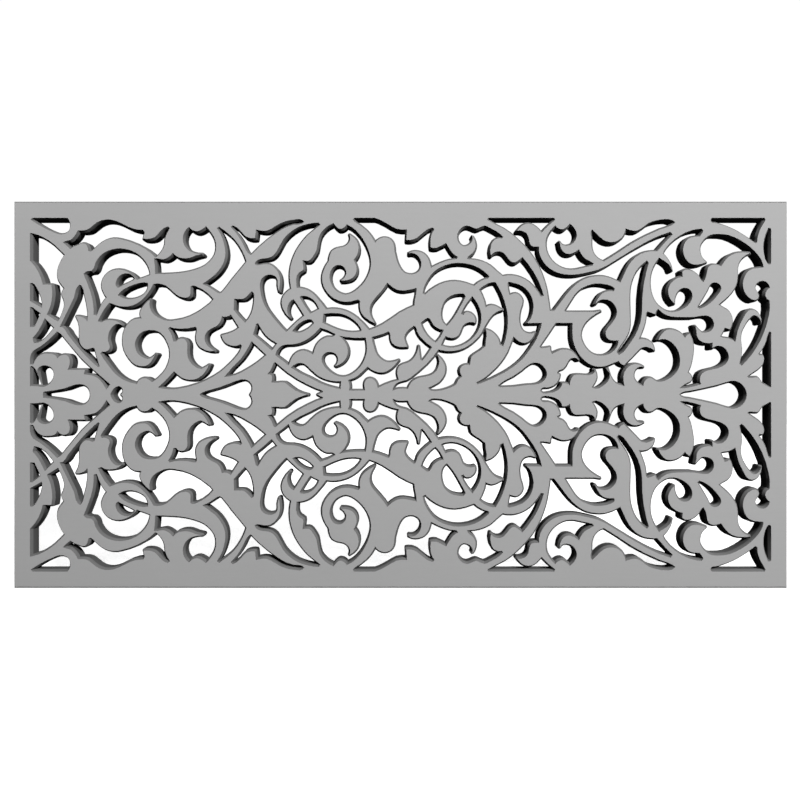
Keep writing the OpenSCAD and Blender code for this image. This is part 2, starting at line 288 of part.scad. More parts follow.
right_cuts = [
    // Slot under the top edge, round the leaf and between the long stems
    [[134,271,1], [136,274,1], [238,274,1], [239.5,270.5,1], [229,262], [218.5,251,1],
     [213,257], [206,262.5], [198,265], [190,263], [184.5,258.5], [181,254.3,1],
     [187.5,254], [194,251], [198,245], [199.5,237], [202.5,231], [208,229.5],
     [214.5,229.5,1], [214.5,222], [218,211.5], [225,201], [235,193], [247,188],
     [261,186], [277,187], [291,190], [305,193.5], [320,200.5], [337,211], [358,224],
     [380,236.5], [402,247], [418,252.5,1], [421.5,248,1], [411,237.5], [397.5,222,1],
     [385,221.8], [373,218.5], [363,212], [354,201.5], [347,188], [340.5,173.5,1],
     [329,179], [315,183.2], [303,183.3], [290,181], [278,175.5], [266,165.5],
     [255,152.5], [246,140.5], [238,130,1], [231,129.5,1], [229.5,142], [226.5,161],
     [221,181], [213,200], [204,215], [193,229], [180,241.5], [171,249.5], [160,257],
     [148,263]],
    // Curl in the round of the stem
    [[239.5,262.5,1], [245,257.5], [251,256.3], [256.5,259.5], [262,265.3,1], [269,258.5],
     [272.8,250], [272,242], [267.5,235], [261,231.3], [254,230.8], [246.5,236.5,1],
     [247.5,230], [250.5,223.5], [256,219], [263,218.3], [270,221], [276.5,225.5,1],
     [280,218], [286,211], [292.5,207.3], [299.5,203.3,1], [297,199.8,1], [284,196.8],
     [271,194], [257,194.2], [245,199], [234.5,207.5], [227.5,218.5], [224.5,231],
     [226,244], [232,254.5]],
    // Flame and the swoosh below it
    [[165.5,173,1], [167.5,175,1], [178,172.5], [189,168], [198,160], [204,149],
     [206,137], [204.5,126], [200.5,116], [196,111,1], [219,111.3,1], [217,103],
     [210.5,86], [201,71], [189,55.5], [175,43.5], [159,33.5], [142,25], [119,16,1],
     [117,19,1], [130,26.5], [143,37.5], [155,50.5], [165,66], [171,81], [175,90.5,1],
     [181,84.5], [188.5,80.5], [196,81], [202,85.5], [208,96.3,1], [194,96],
     [188.5,100], [185,107], [183.5,118], [185.5,132], [189,146], [186,152.5],
     [178.5,157], [172,155.7], [168.5,154.5,1], [166.5,163]],
    [[150.5,14,1], [161,22], [174,28.5], [187,37.5], [199,47], [208.5,50], [217,47.5],
     [224,40.5], [226.8,31], [223,22.5], [214.5,17], [196,15], [175,12.3], [154,11.5,1]],
    // Wave below the top edge
    [[294.5,253], [296.8,256,1], [304,249], [314,240], [324,236.5], [334,237.8],
     [342,243], [347,251.5], [348.5,257.5,1], [356,255], [366,254.3], [374,258.5],
     [384,266], [396,270], [410,272], [421,270.5], [425.5,266.5,1], [420,262.5],
     [402,256], [380,246], [357,233.5], [336,219.5], [315,206.5,1], [305,211.5],
     [298,220.5], [295.5,231], [295.5,243]],
    // Heart of the right scroll
    [[253.5,130,1], [261,142], [269,154.5], [278,163.5], [289,169], [302,172.3],
     [315,171.5], [326,168.5], [331.5,164], [330,160,1], [320,160], [312.5,157],
     [306.5,150], [302,141,1], [308,146.3], [316,147.8], [325,145.3], [332,138.5],
     [335.3,129.5], [333,119], [325,108], [318,98.5], [318,91.5], [322,86], [329,84],
     [337.5,84.5,1], [336,76], [331,68.5], [323,63], [311,60.5], [300,62], [290.5,68.5],
     [283,79], [279,92], [281.5,104], [288.5,114.5], [298,122.5], [309.5,129.5,1],
     [300,128.3], [280,128.2], [256,128.2,1]],
    // Long curved slot
    [[334.5,66,1], [340,75.5], [347.5,86], [353,97], [355.3,109], [355,125], [354.5,145],
     [355,163], [358.5,178.5], [365,192], [373.5,201.5], [381.5,208,1], [384.5,204,1],
     [380.5,190], [376.5,170], [374.5,150], [374,128], [371,110], [363.5,92], [353,76.5],
     [341,63], [337.5,61.8,1]],
    // The great cut round both discs, the pocket and the loop
    [[420.3,193,1], [417.5,203.5], [413,211], [406,218.5,1], [410.5,227], [417,234.5],
     [425,241.5], [433,246.8], [441,251.3], [449.5,254.5], [458.5,256.6], [466.5,257.3,1],
     [469,254,1], [467.5,250.5], [463.5,245,1], [455,244.5], [446.5,242], [441.5,237],
     [438.5,230.5], [437.5,223.5], [439,216], [442.5,209.3], [447.5,204.3], [454,201.8],
     [461.5,201.8], [473.5,205.5,1], [470,208.5], [466,214], [463.8,221], [463.5,229],
     [466,235.5], [470,240.8], [475,245], [481.5,248.3], [490,249], [499.5,248.8],
     [508.5,247.3], [518,243.7], [527,239], [535,234], [542.3,228.3], [548.5,222.5],
     [554.5,215.5], [559.5,207.5], [562.3,197,1], [554,196.2], [546,195.2], [539,191.7],
     [533.5,184.5], [530.5,174.5], [531,164.5], [535,155.5], [542,149], [549,146.8],
     [553.5,149.5], [554.5,154.5], [551.5,160], [549,165.5], [551,172], [556,175.5],
     [562,176.5], [568.5,173], [572,165.5,1], [567,161], [565,155], [566.5,150],
     [571.5,146,1], [572,135], [570,121], [566,105], [560,89.5], [551.5,73.5],
     [541,58.5], [528.5,45,1], [524.5,47.5,1], [527.3,60], [528.2,72], [526.5,85],
     [528,97.5], [533,108], [540,118], [548,123.3], [554.5,120], [558.5,112,1],
     [557,121.5], [554,126.5], [549,130.3], [543,131.5], [538,129.5], [532,121],
     [526.5,110.5], [522.5,100], [520.3,90], [518.5,81.5,1], [508.5,87], [499,88.3],
     [495,90,1], [499,97], [502,104,1], [510,101.5,1], [513.3,110], [513.5,117.5],
     [511.5,124.5], [506.5,131], [500,134.5], [492.3,139.5,1], [504,149.5], [513,159],
     [519.5,170], [521.8,182], [521.8,193], [523.5,203.5], [529,212], [541.5,219.5,1],
     [530,220.3], [518,218.8], [508,213.5], [501,205.5], [496.5,199,1], [490,201],
     [484,201.5], [478,199], [475,192], [473,182], [469,174,1], [466,176.5],
     [462.3,183,1], [456,188.8], [448,192.8], [441,193.3], [436.5,190.5,1],
     [437,182.5,1], [430,181], [422,176], [416.5,169], [414.5,160], [416.5,151],
     [424,141.5,1], [424.3,148], [426.5,155.5], [431.5,162.5], [439,165.7], [447,163.7],
     [451.8,156], [451,147.5], [445,138.5], [436,132], [425,128.3], [414,128.8],
     [404,134], [395.5,142], [389.5,153.5], [386.5,166.5], [386.3,180], [389,193],
     [394,203.5], [400,212.5,1], [409,207], [416,201.5]],
    // Triangle in the corner and the slots at the right edge
    [[480,270], [482,274,1], [563.5,274,1], [565.5,271,1], [559,260], [554,248],
     [552.5,236,1], [549.5,234.3,1], [539,242], [524,251.5], [507,259.5], [489,265.5],
     [481,267.5]],
    [[574,256,1], [574,204,1], [571,201.5], [567,205], [563,216], [561.5,229], [563,241],
     [567,253], [570.5,258.5]],
    [[486,174], [480,171.5], [475.5,163], [468,150], [459.3,135.5,1], [463,133,1],
     [474,138], [484,146], [492,155.5], [496.8,164.5], [494,171]],
    [[571.5,97.8], [569,94.5], [566,84], [561,73], [554,63.5,1], [556,60.5,1], [561,60.5],
     [562.5,54.5], [560.5,47.5], [553.5,40], [544.5,34], [537,28.5,1], [539,26,1],
     [547,26.3], [553,26.5], [557,22], [559.5,17.8,1], [566,14.3], [572,11,1],
     [574,12,1], [574,94,1]],
    // The great cut round the lower discs, the leaves and the trefoils
    [[240,111.3,1], [266.5,111.3,1], [266.3,100], [266.5,89], [269,77.5], [274,66.5],
     [281.5,56.5], [291,48.5], [301,44.3], [311,43.5], [321,45.5], [330,49.5],
     [338,52.5,1], [341.5,48], [346,45.8,1], [359,59], [371,71.5,1], [379,74.3],
     [386,72.8], [392.8,69,1], [391.5,75.5], [388,81,1], [381,85.3], [369,85.8,1],
     [374,98], [378.5,112], [380,126,1], [382.5,129,1], [389,126.8], [394.5,124.8,1],
     [396.5,130.5], [399,133,1], [405,127.5], [414,122.5], [427,120.5], [442,120.3],
     [455,120.5], [468,122.7], [477,122], [483.5,116.5], [485.5,108], [482,100],
     [474.5,96.5], [466.5,96.3,1], [461,101.5], [457,106,1], [458.3,99], [458.7,92],
     [463,84.5], [470.5,80.7], [483.5,80.7,1], [483,72.5,1], [491,76], [500,73.8],
     [507,65], [508.3,55.5], [503,47], [491,41], [476,37.5], [467,33], [463.8,26],
     [465.5,16,1], [456,13.3], [444,10.5], [431.5,10,1], [440,16.5], [451,24],
     [449.5,30], [444.3,34,1], [449,45], [452,58.5], [453.5,72], [452,84], [447.5,94.5,1],
     [444,92.5], [440.5,88,1], [436.5,93], [430,97.8], [421,100.8], [412,100.3],
     [405,94.5], [399.7,85.3,1], [410,86], [418,82.5], [426,74.5], [431.5,64],
     [433,52.5], [430.5,40], [424,31], [414.5,24], [404,20.2], [396.5,20.5],
     [390.5,24.5], [384.5,26], [380.5,23.5], [376,13.5,1], [367,18], [362,24.5],
     [361,32], [364,39.5], [369.5,43.3], [376,43.2,1], [370,46.3], [362,47.3],
     [352.5,43,1], [347,35.5], [345,27], [345.5,19.5], [347,13,1], [340,15], [333,18],
     [328,23.5], [323.5,33.5,1], [324,27], [320,19.5], [312.5,13], [303,9], [296,11.5,1],
     [300.5,18.5], [303.7,27], [303,33], [300.8,38.5,1], [300.5,35], [296.5,31.5],
     [288,30.2], [275.5,31], [268.5,30], [264.5,25], [262.5,14,1], [256.5,17.5],
     [250.5,17.7,1], [248,11], [242,6], [230,2.5], [220,2.5], [216.5,6.5], [219,10.5],
     [229,11.5], [238.5,15.5], [244,22], [246.5,31,1], [242,33.5,1], [244.5,37.3],
     [251,40], [255.8,45], [259,51], [263.5,56], [269,57.3], [275.5,54,1], [270.5,62.5],
     [264,67.8], [256,70], [248,69.5], [241,66.5], [234.5,63,1], [232.5,67],
     [231.5,73.8,1], [224,72.6], [217,72,1], [215,74.5,1], [227,92]],
];

// Cut-outs that cross the middle joint: their upper halves, from one end on the joint to the other.
middle_cuts = [
    // Teardrop at the left edge
    [[-554,0], [-553.5,4.5,1], [-535,7], [-520,10], [-508,14.5], [-498,16.5], [-489,15],
     [-483,9.5], [-480.5,0]],
    // Small heart
    [[-449.5,0], [-447.5,5], [-442,11.5], [-436.5,13.3], [-431,10], [-429.8,5.5],
     [-433,0,1]],
    // Long heart
    [[-311,0], [-307,3.5], [-295,7.5], [-278,12.5], [-262,18.7], [-250,23], [-241,23.8],
     [-234,20.5], [-229.8,14], [-229.5,7.5], [-233,0,1]],
    // Chevron round the pointed leaf
    [[-128.5,0,1], [-120,4,1], [-121,6.5,1], [-131,10], [-145,16.5], [-160,24.5],
     [-175,34.5], [-187,44.5], [-194,50.5,1], [-196.5,49.5,1], [-199,43], [-202,37],
     [-206.5,32,1], [-200,30.5,1], [-199,25.5], [-200.5,19,1], [-192,18.5], [-180,19],
     [-172,13], [-163,6.5], [-154,2.5], [-145,0,1]],
    // Long teardrop at the right
    [[432,0], [434.5,3], [448,6.2], [468,10.3], [490,15.3], [506,20.3], [516.5,21.8],
     [526,18.3], [533,11], [536.3,0]],
];

// How far the outlines reach as drawn, from the centre of the panel. They are stretched to the margin.
drawn_half_l = max([for (loop = right_cuts) for (p = loop) p[0]]);
drawn_half_h = max([for (loop = right_cuts) for (p = loop) p[1]]);
scale_x = open_half_l / drawn_half_l;
scale_z = open_half_h / drawn_half_h;

// Curves: each span is a cubic through its two points, bending like an arc beside a sharp turn.
function point(p) = [p[0] * scale_x, p[1] * scale_z];
function is_sharp(p) = len(p) > 2;
function unit(v) = v / norm(v);
function chord(loop, i) = point(loop[(i + 1) % len(loop)]) - point(loop[i]);
function smooth_way(loop, i) = let (
    n = len(loop),
    before = chord(loop, (i + n - 1) % n),
    after = chord(loop, i)
) unit(before / norm(before) * norm(after) + after / norm(after) * norm(before));
function mirrored_way(c, way) = 2 * (c * way) * c - way;
function angle_between(a, b) = acos(max(-1, min(1, a * b)));
function start_way(loop, i) = let (
    j = (i + 1) % len(loop),
    c = unit(chord(loop, i))
) !is_sharp(loop[i]) ? smooth_way(loop, i)
    : is_sharp(loop[j]) ? c
    : mirrored_way(c, smooth_way(loop, j));
function end_way(loop, i) = let (
    j = (i + 1) % len(loop),
    c = unit(chord(loop, i))
) !is_sharp(loop[j]) ? smooth_way(loop, j)
    : is_sharp(loop[i]) ? c
    : mirrored_way(c, smooth_way(loop, i));
function span(loop, i) = let (
    a = point(loop[i]),
    v = chord(loop, i),
    c = unit(v),
    t0 = start_way(loop, i),
    t1 = end_way(loop, i),
    turn = angle_between(t0, c) + angle_between(c, t1),
    reach = norm(v) / pow(cos(min(turn, 160) / 4), 2),
    steps = max(1, ceil(turn / most_turn), ceil(sqrt(norm(v) * turn * PI / 180 / 8 / curve_tol)))
) steps < 2 ? [] : [for (k = [1:steps - 1]) let (s = k / steps)
    a + v * s * s * (3 - 2 * s) + reach * (t0 * s * pow(1 - s, 2) - t1 * s * s * (1 - s))];

// A leaf tip that points into the opening ends in a tiny blunt edge, so that the saw goes round it.
function cross_z(a, b) = a[0] * b[1] - a[1] * b[0];
function area_sign(loop) = sign([for (i = [0:len(loop) - 1])
    cross_z(point(loop[i]), point(loop[(i + 1) % len(loop)]))] * [for (p = loop) 1]);
function turned(v, angle) = [v[0] * cos(angle) - v[1] * sin(angle),
    v[0] * sin(angle) + v[1] * cos(angle)];
function corner(loop, i, side) = let (
    t0 = end_way(loop, (i + len(loop) - 1) % len(loop)),
    t1 = start_way(loop, i),
    turn = sign(cross_z(t0, t1)) * angle_between(t0, t1),
    step1 = tip_blunt * turned(t0, turn / 3),
    step2 = tip_blunt * turned(t0, turn * 2 / 3),
    first = point(loop[i]) - (step1 + step2) / 2
) is_sharp(loop[i]) && turn * side < -tip_turn ? [first, first + step1, first + step1 + step2]
    : [point(loop[i])];
function outline(loop) = let (side = area_sign(loop)) [for (i = [0:len(loop) - 1])
    each concat(corner(loop, i, side), span(loop, i))];
function flip(p) = is_sharp(p) ? [p[0], -p[1], 1] : [p[0], -p[1]];
function whole(half) = concat(half, [for (i = [len(half) - 2:-1:1]) flip(half[i])]);

// One opening as it is sawn through, in the plane of the panel.
module sawn_opening(loop) {
    offset(delta = -arris_w) polygon(outline(loop));
}

// Half of the fretwork above the middle joint, standing on it, before its edges are bored.
module leaf_blank() {
    rotate([90, 0, 0]) linear_extrude(panel_t, center = true)
        difference() {
            translate([-rail_l / 2, 0]) square([rail_l, leaf_h]);
            for (loop = left_cuts) sawn_opening(loop);
            for (loop = centre_cuts) sawn_opening(loop);
            for (loop = right_cuts) sawn_opening(loop);
            for (loop = middle_cuts) sawn_opening(whole(loop));
        }
}

// Dowels or their bores about one joint of the upper leaf, measured from the middle joint.
module middle_row(d, l) {
    for (x = centre_dowel_x) translate([x * scale_x, 0, 0]) cylinder(d = d, h = l, center = true);
}

module rail_row(d, l) {
    for (x = rail_dowel_x) translate([x * scale_x, 0, leaf_h])
        cylinder(d = d, h = l, center = true);
}

module stile_row(side, heights, d, l) {
    for (z = heights) translate([side * rail_l / 2, 0, z * scale_z]) rotate([0, 90, 0])
        cylinder(d = d, h = l, center = true);
}

module leaf() {
    difference() {
        leaf_blank();
        middle_row(dowel_d, 2 * bore_l);
        rail_row(dowel_d, 2 * bore_l);
        stile_row(-1, left_dowel_z, dowel_d, 2 * bore_l);
        stile_row(1, right_dowel_z, dowel_d, 2 * bore_l);
    }
}

module upper_half() {
    translate([0, 0, mid_z]) children();
}

module lower_half() {
    translate([0, 0, mid_z]) mirror([0, 0, 1]) children();
}

// Cuts the slope along one outer edge of the front face, the edge lying along X at z = 0.
module outer_arris(length) {
    rotate([90, 0, 90]) linear_extrude(length, center = true) translate([-panel_t / 2, 0])
        polygon([[-arris_d, -2 * arris_w], [2 * arris_d, arris_w], [-arris_d, arris_w]]);
}

module top_arris() {
    translate([0, 0, mid_z]) outer_arris(2 * panel_l);
}

// The peg through one corner joint, in the joint at the top right.
module peg() {
    translate([rail_l / 2 + tenon_l / 2, panel_t / 2, mid_z - frame_w / 2]) rotate([90, 0, 0])
        cylinder(d = peg_d, h = panel_t - peg_cover);
}

// A rail above the middle joint, with its tenons, mid_z being where its upper edge lies.
module rail() {
    tenon_bottom = leaf_h + tenon_shoulder;
    difference() {
        union() {
            translate([-rail_l / 2, -panel_t / 2, leaf_h]) cube([rail_l, panel_t, frame_w]);
            for (side = [-1, 1])
                translate([side * (rail_l + tenon_l) / 2, 0, tenon_bottom + tenon_h / 2])
                    cube([tenon_l, tenon_t, tenon_h], center = true);
        }
        rail_row(dowel_d, 2 * bore_l);
        for (side = [0, 1]) mirror([side, 0, 0]) peg();
        top_arris();
    }
}

// The stile on the right, or on the left when mirrored by its caller.
module stile(heights) {
    mortise_l = tenon_l + mortise_gap;
    difference() {
        translate([rail_l / 2, -panel_t / 2, 0]) cube([frame_w, panel_t, panel_h]);
        for (z = [frame_w / 2, panel_h - frame_w / 2])
            translate([rail_l / 2 + mortise_l / 2, 0, z])
                cube([mortise_l, tenon_t, tenon_h], center = true);
        upper_half() stile_row(1, heights, dowel_d, 2 * bore_l);
        lower_half() stile_row(1, heights, dowel_d, 2 * bore_l);
        upper_half() peg();
        lower_half() peg();
        upper_half() top_arris();
        lower_half() top_arris();
        translate([panel_l / 2, 0, mid_z]) rotate([0, 90, 0]) outer_arris(2 * panel_h);
    }
}

module left_stile() { color(paint) mirror([1, 0, 0]) stile(left_dowel_z); }
module right_stile() { color(paint) stile(right_dowel_z); }
module top_rail() { color(paint) upper_half() rail(); }
module bottom_rail() { color(paint) lower_half() rail(); }
module upper_fretwork() { color(paint) upper_half() leaf(); }
module lower_fretwork() { color(paint) lower_half() leaf(); }

module corner_pegs() {
    color(paint) for (side = [0, 1]) mirror([side, 0, 0]) {
        upper_half() peg();
        lower_half() peg();
    }
}

module centre_dowels() { color(beech) upper_half() middle_row(dowel_d, dowel_l); }
module top_dowels() { color(beech) upper_half() rail_row(dowel_d, dowel_l); }
module bottom_dowels() { color(beech) lower_half() rail_row(dowel_d, dowel_l); }

module left_dowels() {
    color(beech) {
        upper_half() stile_row(-1, left_dowel_z, dowel_d, dowel_l);
        lower_half() stile_row(-1, left_dowel_z, dowel_d, dowel_l);
    }
}

module right_dowels() {
    color(beech) {
        upper_half() stile_row(1, right_dowel_z, dowel_d, dowel_l);
        lower_half() stile_row(1, right_dowel_z, dowel_d, dowel_l);
    }
}

left_stile();
right_stile();
top_rail();
bottom_rail();
corner_pegs();
upper_fretwork();
lower_fretwork();
centre_dowels();
top_dowels();
bottom_dowels();
left_dowels();
right_dowels();
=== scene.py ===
"""Looks of the carved lattice grille: carved leaves, paint, floor, light and camera round the CAD frame.
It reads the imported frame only, and runs inside Blender."""
import math

import bmesh
import bpy
import numpy as np
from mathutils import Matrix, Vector
from mathutils.geometry import delaunay_2d_cdt


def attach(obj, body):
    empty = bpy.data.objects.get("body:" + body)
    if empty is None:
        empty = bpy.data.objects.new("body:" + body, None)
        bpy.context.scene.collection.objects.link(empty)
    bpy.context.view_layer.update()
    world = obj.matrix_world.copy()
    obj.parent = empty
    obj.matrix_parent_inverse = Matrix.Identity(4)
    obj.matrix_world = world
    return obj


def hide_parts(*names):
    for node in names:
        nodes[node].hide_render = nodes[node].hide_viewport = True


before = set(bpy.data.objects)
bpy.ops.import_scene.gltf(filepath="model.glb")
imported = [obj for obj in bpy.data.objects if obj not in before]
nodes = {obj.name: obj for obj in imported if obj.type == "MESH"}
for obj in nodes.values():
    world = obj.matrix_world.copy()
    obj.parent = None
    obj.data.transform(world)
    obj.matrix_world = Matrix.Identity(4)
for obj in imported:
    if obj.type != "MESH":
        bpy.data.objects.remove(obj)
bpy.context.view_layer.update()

# Sizes in millimetres and turns in degrees, as in the part's source.
HALF_T = 12.5
MID_Z = 300.0
LEAF_H = 280.0
HALF_L = 580.0
CURVE_TOL = 0.25
MOST_TURN = 20.0
WIDEST_TURN = 160.0
TIP_TURN = 60.0
TIP_BLUNT = 0.1
MM_PER_M = 1000.0
M_PER_MM = 0.001

# The carved slopes. Their foot lies further inside the cut-outs than the walls of the solid, by CARVED_IN.
CARVED_IN = 0.5
ARRIS_W = 2.5 + CARVED_IN
ARRIS_D = 5.5
CREASE = 29.0

# Least divisors of a mitre, at the tips of the wood and in the corners of a cut-out.
TIP_MITRE = 0.5
CORNER_MITRE = 0.02

# Grooves: step along an outline, shortest piece of it that counts, and least distances between groove
# points and from them to the outline, the slope's foot and the middle joint.
GROOVE_STEP = 1.2
GROOVE_PIECE = 0.3
GROOVE_GAP = 0.3
GROOVE_EDGE = 0.05
GROOVE_RECENT = 400

# How close a point lies to a line that it counts as on, and how close two points are that count as one.
NEAR = 0.01
TOUCH = 0.001
MERGE = 0.0001

# Material slots of a carved leaf, and how far a face's normal leans to the front on walls and flat faces.
# The slope and wall slots take darker paint, which is painted shade.
FACE, SLOPE, WALL = 0, 1, 2
WALL_LEAN = 0.01
FLAT_LEAN = 0.95

# Colour sockets of a Mix node.
MIX_A, MIX_B, MIX_RESULT = 6, 7, 2
